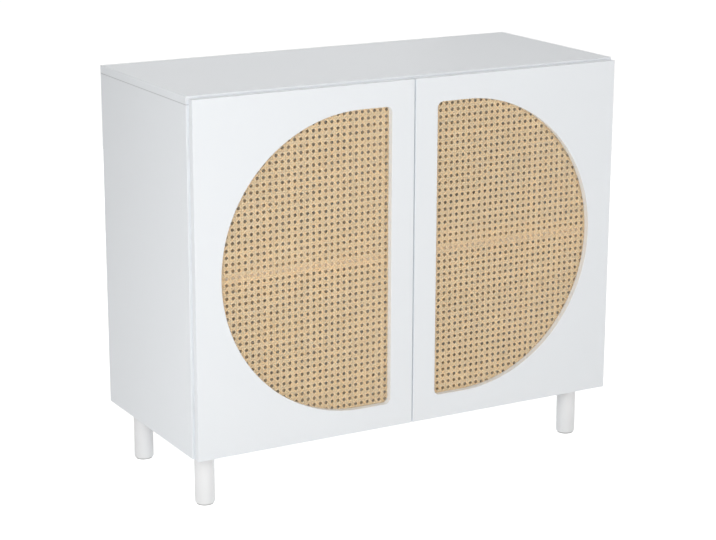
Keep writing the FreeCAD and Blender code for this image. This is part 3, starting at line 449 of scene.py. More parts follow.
@dataclass(frozen=True)
class NaturalCane(Finish):
    """Peeled cane strands: each its own tint, with fibres along it, and a little light through it.

    Attributes:
        glow: the colour and share of the light that passes through a strand.
        patch_rate: lighter and darker patches per metre of strand.
        patch_spread: shade of the darkest and the lightest patch.
        edge_shade: how dark a strand is at its cut edges, next to its middle; partly the cane's own darker
            edges, partly painted shade of its rounded sides and of the seams between strands.
        edge_power: how close to the edge the darkening stays.
        half_width: half the width of a strand.
    """

    relief: float = 0.00004
    bump: float = 0.5
    grain: Effect = Fibre(length=0.03, breadth=0.0005, contrast=0.30)
    glow: Colour = (0.53, 0.39, 0.20)
    patch_rate: float = 22.0
    patch_spread: tuple[float, float] = (0.86, 1.12)
    edge_shade: float = 0.55
    edge_power: float = 3.0
    half_width: float = 0.0016

    def run(self, tree: NodeTree) -> Socket:
        """The place along and across a strand, which the weave stores on its points."""
        return tree.add("ShaderNodeAttribute", attribute_name="strand_run").outputs["Vector"]

    def paint(self, tree: NodeTree, shade: Socket) -> Socket:
        """Gives each strand its own tint, which the weave stores, with patches, and edges darkened partly
        by the cane's own tone and partly by painted shade.

        Args:
            tree: the material's nodes.
            shade: the shade of the fibres.

        Returns:
            The colour over the strand.
        """
        # Each strand's stored tint: its own random tone, with diagonals lighter as a painted highlight.
        tint = tree.add("ShaderNodeAttribute", attribute_name="strand_tint").outputs["Color"]
        run = self.run(tree)
        patches = tree.stretch(tree.noise(run, self.patch_rate, 2.0), *self.patch_spread)
        # Darker towards the strand's edges: partly the cane's own tone, partly painted shade of its
        # rounded sides and of the seams between strands.
        across = tree.add("ShaderNodeSeparateXYZ", {0: run}).outputs["Y"]
        outward = tree.math("DIVIDE", tree.math("ABSOLUTE", across), self.half_width)
        edge = tree.stretch(tree.math("POWER", outward, self.edge_power), 1.0, self.edge_shade)
        shade = tree.math("MULTIPLY", tree.math("MULTIPLY", shade, patches), edge)
        return tree.tint(tree.tint(self.colour, tint), shade)

    def surface(self, tree: NodeTree, shader: bpy.types.Node) -> Socket:
        """Adds the light that comes through a strand from behind.

        Light turns soft where it enters a strand, and leaves it on the far side unchanged.

        Args:
            tree: the material's nodes.
            shader: the strand's outer skin.

        Returns:
            The shader of the whole strand.
        """
        through = tree.add("ShaderNodeBsdfTranslucent", {"Color": self.glow}).outputs[0]
        skin = tree.add("ShaderNodeAddShader", {0: shader.outputs[0], 1: through}).outputs[0]
        inside = tree.add("ShaderNodeBsdfTransparent").outputs[0]
        leaving = tree.add("ShaderNodeNewGeometry").outputs["Backfacing"]
        return tree.add("ShaderNodeMixShader", {0: leaving, 1: skin, 2: inside}).outputs[0]


@dataclass(frozen=True)
class BareWood(Finish):
    """Bare wood with its grain along the X axis of the piece."""

    bump: float = 0.4
    grain: Effect = Fibre(length=0.03, breadth=0.0008, contrast=0.35)


@dataclass(frozen=True)
class PlatedMetal(Finish):
    """Nickel-plated or die-cast metal, with faint drawing marks that change its shine."""

    bump: float = 0.12
    grain: Effect = Fibre(length=0.006, breadth=0.0004, contrast=0.10)
    rough_spread: tuple[float, float] | None = (-0.08, 0.10)
    metallic: float = 1.0


@dataclass(frozen=True)
class MouldedPlastic(Finish):
    """Moulded plastic or soft elastomer with a fine, even grain."""

    bump: float = 0.35
    grain: Effect = Film(ripple_size=0.0004, cloud_size=0.03, cloud_depth=0.03)


@dataclass(frozen=True)
class PressedFelt(Finish):
    """Pressed felt: a mottled, fuzzy surface."""

    relief: float = 0.0002
    bump: float = 1.0
    grain: Effect = Film(ripple_size=0.0005, cloud_size=0.002, cloud_depth=0.5)
    sheen: float = 0.4


# -------------------------------------------------------------------------------------- pieces


class Side(Enum):
    """The two halves of the cabinet, each with the sign of its X."""

    LEFT = -1
    RIGHT = 1

    @property
    def word(self) -> str:
        """The side's word, as the nodes' names use it."""
        return self.name.lower()


def packed_points(node: str) -> np.ndarray:
    """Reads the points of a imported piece.

    Args:
        node: the piece's name.

    Returns:
        An N by 3 array, in metres.
    """
    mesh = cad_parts[node].data
    points = np.empty(len(mesh.vertices) * 3, np.float32)
    mesh.vertices.foreach_get("co", points)
    return points.reshape(-1, 3).astype(float)


def dress(finish: Finish, *nodes: str) -> None:
    """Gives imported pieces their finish.

    Args:
        finish: what they are finished in.
        *nodes: the pieces' names.
    """
    for node in nodes:
        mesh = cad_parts[node].data
        mesh.materials.clear()
        mesh.materials.append(finish.material())
        log.info("%s: %s", node, finish.name)


def tube_faces(base: int, rings: int, spokes: int) -> np.ndarray:
    """Joins rings of points into a tube of four-sided faces.

    Args:
        base: number of the first point.
        rings: how many rings there are.
        spokes: how many points each ring has.

    Returns:
        An M by 4 array of point numbers.
    """
    index = base + np.arange(rings * spokes).reshape(rings, spokes)
    near, far = index[:-1], index[1:]
    faces = np.stack([near, far, np.roll(far, -1, 1), np.roll(near, -1, 1)], axis=-1)
    return faces.reshape(-1, 4)


def new_piece(name: str, points: np.ndarray, faces: np.ndarray, finish: Finish) -> bpy.types.Object:
    """Makes a mesh object from arrays of points and four-sided faces.

    Args:
        name: the object's name.
        points: an N by 3 array, in metres.
        faces: an M by 4 array of point numbers.
        finish: what the piece is finished in.

    Returns:
        The linked object.
    """
    mesh = bpy.data.meshes.new(name)
    mesh.vertices.add(len(points))
    mesh.vertices.foreach_set("co", points.astype(np.float32).ravel())
    mesh.loops.add(faces.size)
    mesh.loops.foreach_set("vertex_index", faces.astype(np.int32).ravel())
    mesh.polygons.add(len(faces))
    mesh.polygons.foreach_set("loop_start", np.arange(0, faces.size, 4, dtype=np.int32))
    mesh.polygons.foreach_set("use_smooth", np.ones(len(faces), bool))
    mesh.update(calc_edges=True)
    mesh.validate()
    mesh.materials.append(finish.material())
    return new_object(name, mesh)


BOARD_WHITE = (0.88, 0.906, 0.93)
TOP_UNDERSIDE = float(packed_points("top_panel")[:, 2].min())

PAINTED_BOARD = SprayedPaint("painted_board", BOARD_WHITE, 0.45)
JOINED_BOARD = SprayedPaint("joined_board", BOARD_WHITE, 0.45, joint=TOP_UNDERSIDE)
PAINTED_LEG = SprayedPaint("painted_leg", (0.90, 0.90, 0.90), 0.40)
BACK_BOARD = FacedHardboard("back_board", (0.88, 0.88, 0.87), 0.6)
CANE = NaturalCane("cane", (0.458, 0.4215, 0.317), 0.52)
CANE_STRIP = BareWood("cane_strip", (0.66, 0.50, 0.32), 0.55)
BEECH = BareWood("beech", (0.58, 0.40, 0.24), 0.6)
STEEL = PlatedMetal("steel", (0.62, 0.61, 0.59), 0.30)
ZINC = PlatedMetal("die_cast_zinc", (0.50, 0.51, 0.52), 0.42)
LATCH_PLASTIC = MouldedPlastic("latch_plastic", (0.70, 0.70, 0.69), 0.45)
PLUNGER_PLASTIC = MouldedPlastic("plunger_plastic", (0.24, 0.24, 0.25), 0.4)
SOFT_BUMPER = MouldedPlastic("soft_bumper", (0.74, 0.76, 0.76), 0.25)
FELT = PressedFelt("felt", (0.62, 0.62, 0.61), 0.95)


@dataclass
class RoundedOpening:
    """The D-shaped opening of a door: half round towards the hinges, straight at the middle.

    Attributes:
        side: which door it is in.
        level: height of the opening's middle above the floor.
        radius: radius of the half-round side.
        centre: distance of the half round's centre from the middle of the cabinet.
        straight: distance of the straight side from the middle of the cabinet.
        corner: radius of the two corners of the straight side.
        round_points: how many points the half round has.
        corner_points: how many points each corner has.
    """

    side: Side
    level: float
    radius: float = 0.2865
    centre: float = 0.114
    straight: float = 0.0492
    corner: float = 0.012
    round_points: int = 121
    corner_points: int = 13

    def outline(self, outset: float) -> np.ndarray:
        """The outline, grown by an outset.

        Args:
            outset: how far outside the opening's edge the outline runs.

        Returns:
            Points in the plane of the door, as X and Z, in order around the opening.
        """
        big = self.radius + outset
        small = self.corner + outset
        inner = self.straight - outset + small
        round_side = np.radians(np.linspace(90.0, -90.0, self.round_points))
        low_corner = np.radians(np.linspace(-90.0, -180.0, self.corner_points))
        high_corner = np.radians(np.linspace(180.0, 90.0, self.corner_points))
        x = np.concatenate([
            self.centre + big * np.cos(round_side),
            inner + small * np.cos(low_corner),
            inner + small * np.cos(high_corner),
        ])
        z = np.concatenate([
            big * np.sin(round_side),
            -(big - small) + small * np.sin(low_corner),
            (big - small) + small * np.sin(high_corner),
        ])
        return np.column_stack([self.side.value * x, z + self.level])


class Run(Enum):
    """The four ways that strands run through the weave, each with its X and Z from the front."""

    UPRIGHT = (0.0, 1.0)
    LEVEL = (1.0, 0.0)
    FALLING = (1.0, -1.0)
    RISING = (1.0, 1.0)

    @property
    def straight(self) -> bool:
        """Whether the strands run along the mesh, in pairs, and not across its corners."""
        return self in (Run.UPRIGHT, Run.LEVEL)

    @property
    def way(self) -> np.ndarray:
        """The direction, of length 1."""
        return np.array(self.value) / math.hypot(*self.value)


@dataclass
class CaneWeave:
    """One panel of six-way woven cane: pairs of upright and level strands, and two diagonals.

    Uprights and levels pass over and under each other strand by strand.  Falling strands lie over
    the upright pairs and under the level pairs, and rising strands the other way round, which
    leaves an eight-sided hole in every mesh.

    Attributes:
        side: which door it is in.
        hole_x: X of one column of holes.
        hole_z: Z of one row of holes.
        mesh_size: distance from hole to hole.
        outset: how far the panel reaches behind the door's ledge.
        pair_offset: strand's centre from the middle of its pair.
        strand_width: width of a strand.
        strand_thickness: thickness of a strand.
        width_spread: width of the narrowest and the widest strand, next to the strand width.
        straight_lift: how far uprights and levels rise at a crossing, in thicknesses.
        shoulder: where their rise slows down, in meshes from the middle of a pair.
        shoulder_lift: how much of the rise is left there.
        diagonal_lift: how far diagonals rise over a pair, in thicknesses.
        snap: how sharply a diagonal goes from over to under.
        wander: how far a strand strays from its line.
        wander_rate: how fast it strays, in radians per metre.
        wander_spread: what share of the wander the straightest and the least straight strand have.
        diagonal_tint: how much lighter diagonals are drawn than the others, a painted highlight for the
            light their edges catch.
        tint_spread: how far strands differ in lightness.
        warmth_spread: how far strands differ in warmth.
        seed: what the panel's chance starts from.
        plane: Y of the middle of the panel.
        outline: the panel's edge, as X and Z.
        chance: the panel's own source of chance.
        points: the points of every strand laid so far.
        faces: their faces, as point numbers.
        tints: a tint for every point.
        runs: for every point, its place along and across its strand, and which strand it is.
    """

    side: Side
    hole_x: float
    hole_z: float
    mesh_size: float = 0.0127
    outset: float = 0.0077
    pair_offset: float = 0.00175
    strand_width: float = 0.0033
    strand_thickness: float = 0.00045
    width_spread: tuple[float, float] = (0.94, 1.05)
    straight_lift: float = 0.53
    shoulder: float = 0.32
    shoulder_lift: float = 0.45
    diagonal_lift: float = 1.02
    snap: float = 2.4
    wander: float = 0.00010
    wander_rate: float = 55.0
    wander_spread: tuple[float, float] = (0.3, 1.0)
    diagonal_tint: float = 1.10
    tint_spread: float = 0.065
    warmth_spread: float = 0.02
    seed: int = 41
    plane: float = field(init=False)
    outline: np.ndarray = field(init=False)
    chance: np.random.Generator = field(init=False)
    points: list[np.ndarray] = field(default_factory=list)
    faces: list[np.ndarray] = field(default_factory=list)
    tints: list[np.ndarray] = field(default_factory=list)
    runs: list[np.ndarray] = field(default_factory=list)

    # Points along a strand per mesh, and the fewest that a strand has.
    STRAIGHT_STEPS = 7.0
    DIAGONAL_STEPS = 5.0
    FEWEST_STEPS = 4

    # A strand shorter than this is left out.
    SHORTEST = 0.002

    # The cross-section: height of its edges and shoulders in half thicknesses, and distance of the
    # shoulders from the middle in half widths.
    EDGE_HEIGHT = -0.6
    SHOULDER_HEIGHT = 0.35
    SHOULDER_PLACE = 0.86

    # Where in its sway a strand may start, in radians.
    SWAY_STARTS = (0.0, 6.28)

    # How far apart neighbouring strands lie in the noise of their finish.
    NOISE_SHIFT = 0.037

    # Blue moves against red by this much when a strand is warmer, and tints stay between these.
    BLUE_SWING = 1.6
    TINT_LIMITS = (0.6, 1.25)

    def __post_init__(self) -> None:
        """Takes the panel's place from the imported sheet, and starts its chance."""
        sheet = packed_points(f"{self.side.word}_cane_panel")
        middle = (sheet.min(axis=0) + sheet.max(axis=0)) / 2.0
        _, self.plane, level = (round(float(value), 6) for value in middle)
        self.outline = RoundedOpening(self.side, level).outline(self.outset)
        self.chance = np.random.default_rng(self.seed + self.side.value)

    def crossing(self, start: np.ndarray, way: np.ndarray) -> tuple[float, float] | None:
        """The stretch of a straight line that lies inside the panel's outline, which is convex.

        Args:
            start: a point of the line.
            way: the line's direction, of length 1.

        Returns:
            The distances from start at which the line enters and leaves, or None if it misses.
        """
        edge = np.roll(self.outline, -1, axis=0) - self.outline
        inward = np.column_stack([-edge[:, 1], edge[:, 0]])
        middle = self.outline.mean(axis=0) - self.outline
        inward *= np.sign((inward * middle).sum(axis=1))[:, None]
        gap = ((start - self.outline) * inward).sum(axis=1)
        rate = inward @ way
        parallel = 1e-12
        entering = rate > parallel
        leaving = rate < -parallel
        if np.any(gap[~entering & ~leaving] < 0.0):
            return None
        low = np.max(-gap[entering] / rate[entering])
        high = np.min(-gap[leaving] / rate[leaving])
        return (low, high) if high - low > self.SHORTEST else None

    def depth(self, run: Run, place: np.ndarray, strand: int) -> np.ndarray:
        """How far a strand's middle lies in front of the panel's middle plane.

        Args:
            run: which way the strand runs.
            place: points along the strand, in meshes from a hole.
            strand: which strand of its pair it is, 0 or 1.

        Returns:
            One depth per point, in metres; forward is positive.
        """
        if run.straight:
            along = place[:, 1] if run is Run.UPRIGHT else place[:, 0]
            offset = self.pair_offset / self.mesh_size
            turns = [-0.5, -self.shoulder, -offset, offset, self.shoulder, 0.5]
            lifts = [0.0, self.shoulder_lift, 1.0, -1.0, -self.shoulder_lift, 0.0]
            wave = np.interp((along % 1.0) - 0.5, turns, lifts)
            first = 1.0 if run is Run.UPRIGHT else -1.0
            return first * (1.0 - 2.0 * strand) * wave * self.strand_thickness * self.straight_lift
        swing = np.tanh(self.snap * np.cos(2.0 * math.pi * place[:, 0])) / math.tanh(self.snap)
        over = -1.0 if run is Run.FALLING else 1.0
        return over * swing * self.strand_thickness * self.diagonal_lift

    def section(self, width: float) -> np.ndarray:
        """A strand's cross-section: flat behind, domed in front.

        Args:
            width: the strand's width.

        Returns:
            Offsets across and forward of the strand's middle, from edge to edge.
        """
        half, thick = width / 2.0, self.strand_thickness / 2.0
        edge, shoulder = thick * self.EDGE_HEIGHT, thick * self.SHOULDER_HEIGHT
        turn = half * self.SHOULDER_PLACE
        return np.array([[-half, edge], [-turn, shoulder], [0.0, thick], [turn, shoulder], [half, edge]])

    def lay_strand(self, run: Run, start: np.ndarray, strand: int = 0) -> None:
        """Adds one strand, if its line crosses the panel.

        Args:
            run: which way it runs.
            start: a point of its middle line, as X and Z.
            strand: which strand of its pair it is.
        """
        way = run.way
        span = self.crossing(start, way)
        if span is None:
            return
        if run.straight:
            step = self.mesh_size / self.STRAIGHT_STEPS
        else:
            step = self.mesh_size * math.sqrt(0.5) / self.DIAGONAL_STEPS
        count = max(self.FEWEST_STEPS, int((span[1] - span[0]) / step) + 1)
        along = np.linspace(*span, count)
        sway = np.sin(along * self.wander_rate + self.chance.uniform(*self.SWAY_STARTS))
        stray = self.wander * sway * self.chance.uniform(*self.wander_spread)
        across_way = np.array([-way[1], way[0]])
        middle = start + along[:, None] * way + stray[:, None] * across_way
        place = (middle - np.array([self.hole_x, self.hole_z])) / self.mesh_size
        section = self.section(self.strand_width * self.chance.uniform(*self.width_spread))
        spokes = len(section)
        flat = middle[:, None, :] + section[None, :, :1] * across_way
        forward = self.depth(run, place, strand)[:, None] + section[None, :, 1]
        block = np.stack([flat[..., 0], self.plane - forward, flat[..., 1]], axis=-1)
        self.faces.append(tube_faces(sum(len(part) for part in self.points), count, spokes))
        self.points.append(block.reshape(-1, 3))
        self.tints.append(np.tile(self.tint(run), (count * spokes, 1)))
        shift = np.full(count * spokes, len(self.points) * self.NOISE_SHIFT)
        self.runs.append(np.column_stack([np.repeat(along, spokes), np.tile(section[:, 0], count), shift]))

    def tint(self, run: Run) -> np.ndarray:
        """Draws the tint of one strand.

        Args:
            run: which way it runs.

        Returns:
            Red, green, blue and opacity.
        """
        # Diagonals are drawn lighter than the others: a painted highlight.
        value = self.chance.normal(1.0 if run.straight else self.diagonal_tint, self.tint_spread)
        warmth = self.chance.normal(0.0, self.warmth_spread)
        tint = [value * (1.0 + warmth), value, value * (1.0 - self.BLUE_SWING * warmth), 1.0]
        return np.clip(tint, *self.TINT_LIMITS)

    def weave(self) -> bpy.types.Object:
        """Lays all four runs of strands and makes the panel.

        Returns:
            The panel, in place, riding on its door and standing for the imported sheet.
        """
        hole = np.array([self.hole_x, self.hole_z])
        first = np.floor((self.outline.min(axis=0) - hole) / self.mesh_size).astype(int) - 1
        last = np.ceil((self.outline.max(axis=0) - hole) / self.mesh_size).astype(int) + 1
        for axis, run in enumerate((Run.UPRIGHT, Run.LEVEL)):
            for number in range(first[axis], last[axis] + 1):
                for strand in (0, 1):
                    start = hole.copy()
                    start[axis] += (number + 0.5) * self.mesh_size + (2 * strand - 1) * self.pair_offset
                    self.lay_strand(run, start, strand)
        reach = int((last - first).sum()) + 2
        for run in (Run.FALLING, Run.RISING):
            for number in range(-reach, reach + 1):
                self.lay_strand(run, hole + np.array([(number + 0.5) * self.mesh_size, 0.0]))
        name = f"{self.side.word}_woven_cane"
        panel = new_piece(name, np.concatenate(self.points), np.concatenate(self.faces), CANE)
        self.store(panel.data, "strand_tint", "FLOAT_COLOR", "color", np.concatenate(self.tints))
        self.store(panel.data, "strand_run", "FLOAT_VECTOR", "vector", np.concatenate(self.runs))
        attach(panel, f"{self.side.word}_door")
        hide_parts(f"{self.side.word}_cane_panel")
        log.info("%s: %d strands, %d points", name, len(self.points), len(panel.data.vertices))
        return panel

    @staticmethod
    def store(mesh: bpy.types.Mesh, name: str, kind: str, key: str, values: np.ndarray) -> None:
        """Stores one value per point of a mesh under a name that a material can read."""
        layer = mesh.attributes.new(name, kind, "POINT")
        layer.data.foreach_set(key, values.astype(np.float32).ravel())


class Facing(Enum):
    """The ways that screw heads face."""

    INWARD = "towards the middle of the cabinet"
    REARWARD = "towards the back"
    DOWNWARD = "towards the floor"

    def axis(self, place: np.ndarray) -> np.ndarray:
        """The direction of a head.

        Args:
            place: the middle of the screw.

        Returns:
            A vector of length 1 that points out of the head.
        """
        if self is Facing.INWARD:
            return np.array([-math.copysign(1.0, place[0]), 0.0, 0.0])
        return np.array([0.0, 1.0, 0.0] if self is Facing.REARWARD else [0.0, 0.0, -1.0])


@dataclass
class ScrewSet:
    """Like screws in one piece: domed heads with a cross recess, and threaded shanks.

    Attributes:
        node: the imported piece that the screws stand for.
        body: what they ride on.
        facing: which way the heads face.
        shank: diameter of the shank, over the thread.
        head_height: height of the head.
        pitch: distance from thread to thread.
        spokes: how many points there are around a screw.
    """

    node: str
    body: str
    facing: Facing
    shank: float
    head_height: float
    pitch: float = 0.0014
    spokes: int = 24

    # Rings of the head, in head radii; the dome's share of the head, and how round it is.
    HEAD_RINGS = np.array([0.0, 0.12, 0.22, 0.32, 0.42, 0.52, 0.64, 0.80, 0.93, 1.0])
    DOME_SHARE = 0.55
    DOME_CURVE = 0.96

    # The recess: its depth in head heights; where it is all open, where it ends and how soon, in
    # head radii; and how narrow its four arms are.
    RECESS_DEPTH = 0.6
    RECESS_CORE = 0.15
    RECESS_REACH = 0.60
    RECESS_SLOPE = 0.2
    RECESS_ARMS = 6

    # The thread: its depth in pitches, how sharp it is, rings to a turn, and the neck above it.
    THREAD_DEPTH = 0.35
    THREAD_EDGE = 1.5
    THREAD_RINGS = 4.0
    NECK = 0.0003

    # The tip: where the thread ends, in shank radii, and its last rings, in core and shank radii.
    TIP_START = 1.1
    TIP_OUT = np.array([0.9, 0.45, 0.0])
    TIP_UP = np.array([1.0, 0.35, 0.0])

    # How far each screw is turned past the one before it, in radians.
    NEXT_TURN = 0.7

    def islands(self) -> list[tuple[np.ndarray, np.ndarray]]:
        """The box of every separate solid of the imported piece.

        Returns:
            The low and high corner of each, in metres.
        """
        points = packed_points(self.node)
        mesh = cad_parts[self.node].data
        edges = np.empty(len(mesh.edges) * 2, np.int32)
        mesh.edges.foreach_get("vertices", edges)
        _, same = np.unique(np.round(points, 6), axis=0, return_inverse=True)
        same = same.ravel()
        first, second = same[edges.reshape(-1, 2)].T
        label = np.arange(same.max() + 1)
        while True:
            lowest = label.copy()
            np.minimum.at(lowest, first, label[second])
            np.minimum.at(lowest, second, label[first])
            if np.array_equal(lowest, label):
                break
            label = lowest
        owner = label[same]
        solids = [points[owner == one] for one in np.unique(owner)]
        return [(solid.min(axis=0), solid.max(axis=0)) for solid in solids]

    def profile(self, radius: float, length: float) -> tuple[np.ndarray, np.ndarray]:
        """One screw around its axis, from the middle of the head to the tip.

        Args:
            radius: radius of the head.
            length: whole length of the screw.

        Returns:
            The distance from the axis and the depth below the top of the head, one row per ring.
        """
        angle = np.linspace(0.0, 2.0 * math.pi, self.spokes, endpoint=False)
        reach = self.HEAD_RINGS
        dome = self.head_height * self.DOME_SHARE * (1.0 - np.sqrt(1.0 - self.DOME_CURVE * reach**2))
        cross = np.abs(np.cos(2.0 * angle)) ** self.RECESS_ARMS
        arms = np.maximum(cross, (reach < self.RECESS_CORE)[:, None])
        wall = np.clip((self.RECESS_REACH - reach) / self.RECESS_SLOPE, 0.0, 1.0)[:, None]
        recess = self.RECESS_DEPTH * self.head_height * wall * arms
        outer = self.shank / 2.0
        core = outer - self.THREAD_DEPTH * self.pitch
        thread_end = length - self.TIP_START * outer
        along = np.arange(self.head_height + self.NECK, thread_end, self.pitch / self.THREAD_RINGS)
        turn = along[:, None] / self.pitch - angle / (2.0 * math.pi)
        ridge = (1.0 - np.abs(2.0 * (turn % 1.0) - 1.0)) ** self.THREAD_EDGE
        out = [
            self.around(reach * radius), self.around(np.array([radius, outer])),
            core + (outer - core) * ridge, self.around(self.TIP_OUT * core),
        ]
        down = [
            dome[:, None] + recess, self.around(np.full(2, self.head_height)),
            self.around(along), self.around(length - self.TIP_UP * outer),
        ]
        return np.concatenate(out), np.concatenate(down)

    def around(self, column: np.ndarray) -> np.ndarray:
        """Repeats one value per ring for every point around the screw."""
        return np.repeat(column[:, None], self.spokes, axis=1)

    def turn(self, low: np.ndarray, high: np.ndarray, spin: float) -> np.ndarray:
        """Turns one screw.

        Args:
            low: low corner of the box that it fills.
            high: high corner of that box.
            spin: how far it is turned about its axis, in radians.

        Returns:
            Its points, by ring and by place around the ring.
        """
        axis = self.facing.axis((low + high) / 2.0)
        along = int(np.argmax(np.abs(axis)))
        others = [number for number in range(3) if number != along]
        radius = float((high - low)[others].min()) / 2.0
        out, down = self.profile(radius, float((high - low)[along]))
        top = np.where(axis > 0.5, high, np.where(axis < -0.5, low, (low + high) / 2.0))
        first = np.eye(3)[others[0]]
        second = np.cross(axis, first)
        angle = np.linspace(0.0, 2.0 * math.pi, self.spokes, endpoint=False) + spin
        ring = np.cos(angle)[:, None] * first + np.sin(angle)[:, None] * second
        return top + out[..., None] * ring[None] - down[..., None] * axis

    def build(self) -> bpy.types.Object:
        """Turns every screw of the piece.

        Returns:
            The piece with all its screws.
        """
        points: list[np.ndarray] = []
        faces: list[np.ndarray] = []
        base = 0
        for low, high in self.islands():
            block = self.turn(low, high, self.NEXT_TURN * len(points))
            faces.append(tube_faces(base, *block.shape[:2]))
            points.append(block.reshape(-1, 3))
            base += len(points[-1])
        piece = new_piece(f"{self.node}_turned", np.concatenate(points), np.concatenate(faces), STEEL)
        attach(piece, self.body)
        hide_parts(self.node)
        log.info("%s: %d screws", self.node, len(points))
        return piece


@dataclass
class Carcass:
    """The boards that do not move, and what joins them.

    Attributes:
        boards: the boards inside and below.
        joined_boards: the boards that meet in the joint at the top.
        fittings: the steel fittings.
    """

    boards: tuple[str, ...] = ("bottom_panel", "centre_divider", "left_shelf", "right_shelf")
    joined_boards: tuple[str, ...] = ("top_panel", "left_side_panel", "right_side_panel")
    fittings: tuple[str, ...] = ("cam_bolts", "back_panel_nails", "shelf_pins", "divider_screws")

    def build(self) -> None:
        """Finishes every board and fitting, and turns the divider's screws."""
        dress(PAINTED_BOARD, *self.boards)
        dress(JOINED_BOARD, *self.joined_boards)
        dress(STEEL, *self.fittings)
        dress(BACK_BOARD, "back_panel")
        dress(ZINC, "cam_locks")
        dress(BEECH, "dowels")
        ScrewSet(
            "divider_screws", "carcass", Facing.DOWNWARD, shank=0.005, head_height=0.003, pitch=0.0022
        ).build()


@dataclass
class Legs:
    """Four round legs with their plates, bolts, screws and glides.

    Attributes:
        corners: the corners that the legs stand at.
        fittings: the steel that holds them.
    """

    corners: tuple[str, ...] = ("front_left", "front_right", "rear_left", "rear_right")
    fittings: tuple[str, ...] = ("leg_mounting_plates", "hanger_bolts", "leg_plate_screws")

    def build(self) -> None:
        """Finishes the legs and what holds them."""
        dress(PAINTED_LEG, *(f"{corner}_leg" for corner in self.corners))
        dress(STEEL, *self.fittings)
        dress(FELT, "leg_glides")
        ScrewSet("leg_plate_screws", "carcass", Facing.DOWNWARD, shank=0.004, head_height=0.0018).build()


@dataclass
class Door:
    """One door: the board with its opening, its cane, and the hardware that moves with it.

    Attributes:
        side: which door it is.
        hole_x: X of one column of holes in its cane.
        hole_z: Z of one row of holes in its cane.
        hardware: the steel pieces that move with it.
    """

    side: Side
    hole_x: float
    hole_z: float
    hardware: tuple[str, ...] = (
        "upper_hinge_cup", "lower_hinge_cup", "hinge_cup_screws", "hinge_pins",
        "strike_plate", "strike_screws",
    )

    def build(self) -> None:
        """Finishes the door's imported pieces, turns its screws and weaves its cane."""
        word = self.side.word
        dress(PAINTED_BOARD, f"{word}_door_frame")
        dress(CANE_STRIP, f"{word}_cane_retaining_strip", f"{word}_cane_panel")
        dress(SOFT_BUMPER, f"{word}_door_bumpers")
        dress(STEEL, *(f"{word}_{piece}" for piece in self.hardware))
        body = f"{word}_door"
        ScrewSet(
            f"{word}_hinge_cup_screws", body, Facing.REARWARD, shank=0.0035, head_height=0.0018
        ).build()
        ScrewSet(
            f"{word}_strike_screws", body, Facing.REARWARD, shank=0.0025, head_height=0.0006, pitch=0.001
        ).build()
        CaneWeave(self.side, self.hole_x, self.hole_z).weave()


@dataclass
class DoorFittings:
    """The hinge halves and latches that stay on the carcass.

    Attributes:
        hinge_halves: the steel halves of the hinges on each side.
        hinge_screws: the screws of the hinge halves.
    """

    hinge_halves: tuple[str, ...] = (
        "upper_hinge_arm", "upper_hinge_mounting_plate", "lower_hinge_arm", "lower_hinge_mounting_plate",
    )
    hinge_screws: tuple[str, ...] = ("hinge_plate_screws", "hinge_arm_screws")

    def build(self) -> None:
        """Finishes arms, mounting plates and latches, and turns their screws."""
        for side in Side:
            dress(STEEL, *(f"{side.word}_{half}" for half in self.hinge_halves))
            dress(LATCH_PLASTIC, f"{side.word}_latch_housing")
            dress(PLUNGER_PLASTIC, f"{side.word}_latch_plunger")
        dress(STEEL, *self.hinge_screws, "latch_screws")
        for screws in self.hinge_screws:
            ScrewSet(screws, "carcass", Facing.INWARD, shank=0.004, head_height=0.0018).build()
        ScrewSet("latch_screws", "carcass", Facing.DOWNWARD, shank=0.0035, head_height=0.0018).build()


# -------------------------------------------------------------------------------------- studio


@dataclass(frozen=True)
class SoftLamp:
    """A square soft lamp that faces the middle of the cabinet's front.

    Attributes:
        name: the lamp's name.
        place: where it hangs.
        size: its side.
        power: its power, in watts.
        aim: the point that it faces.
    """

    name: str
    place: tuple[float, float, float]
    size: float
    power: float
    aim: tuple[float, float, float] = (0.0, -0.1, 0.42)

    def hang(self) -> None:
        """Makes the lamp and turns it to the cabinet."""
        data = bpy.data.lights.new(self.name, "AREA")
        data.shape = "SQUARE"
        data.size = self.size
        data.energy = self.power
        lamp = new_object(self.name, data)
        lamp.location = self.place
        way = Vector(self.aim) - Vector(self.place)
        lamp.rotation_euler = way.to_track_quat("-Z", "Y").to_euler()


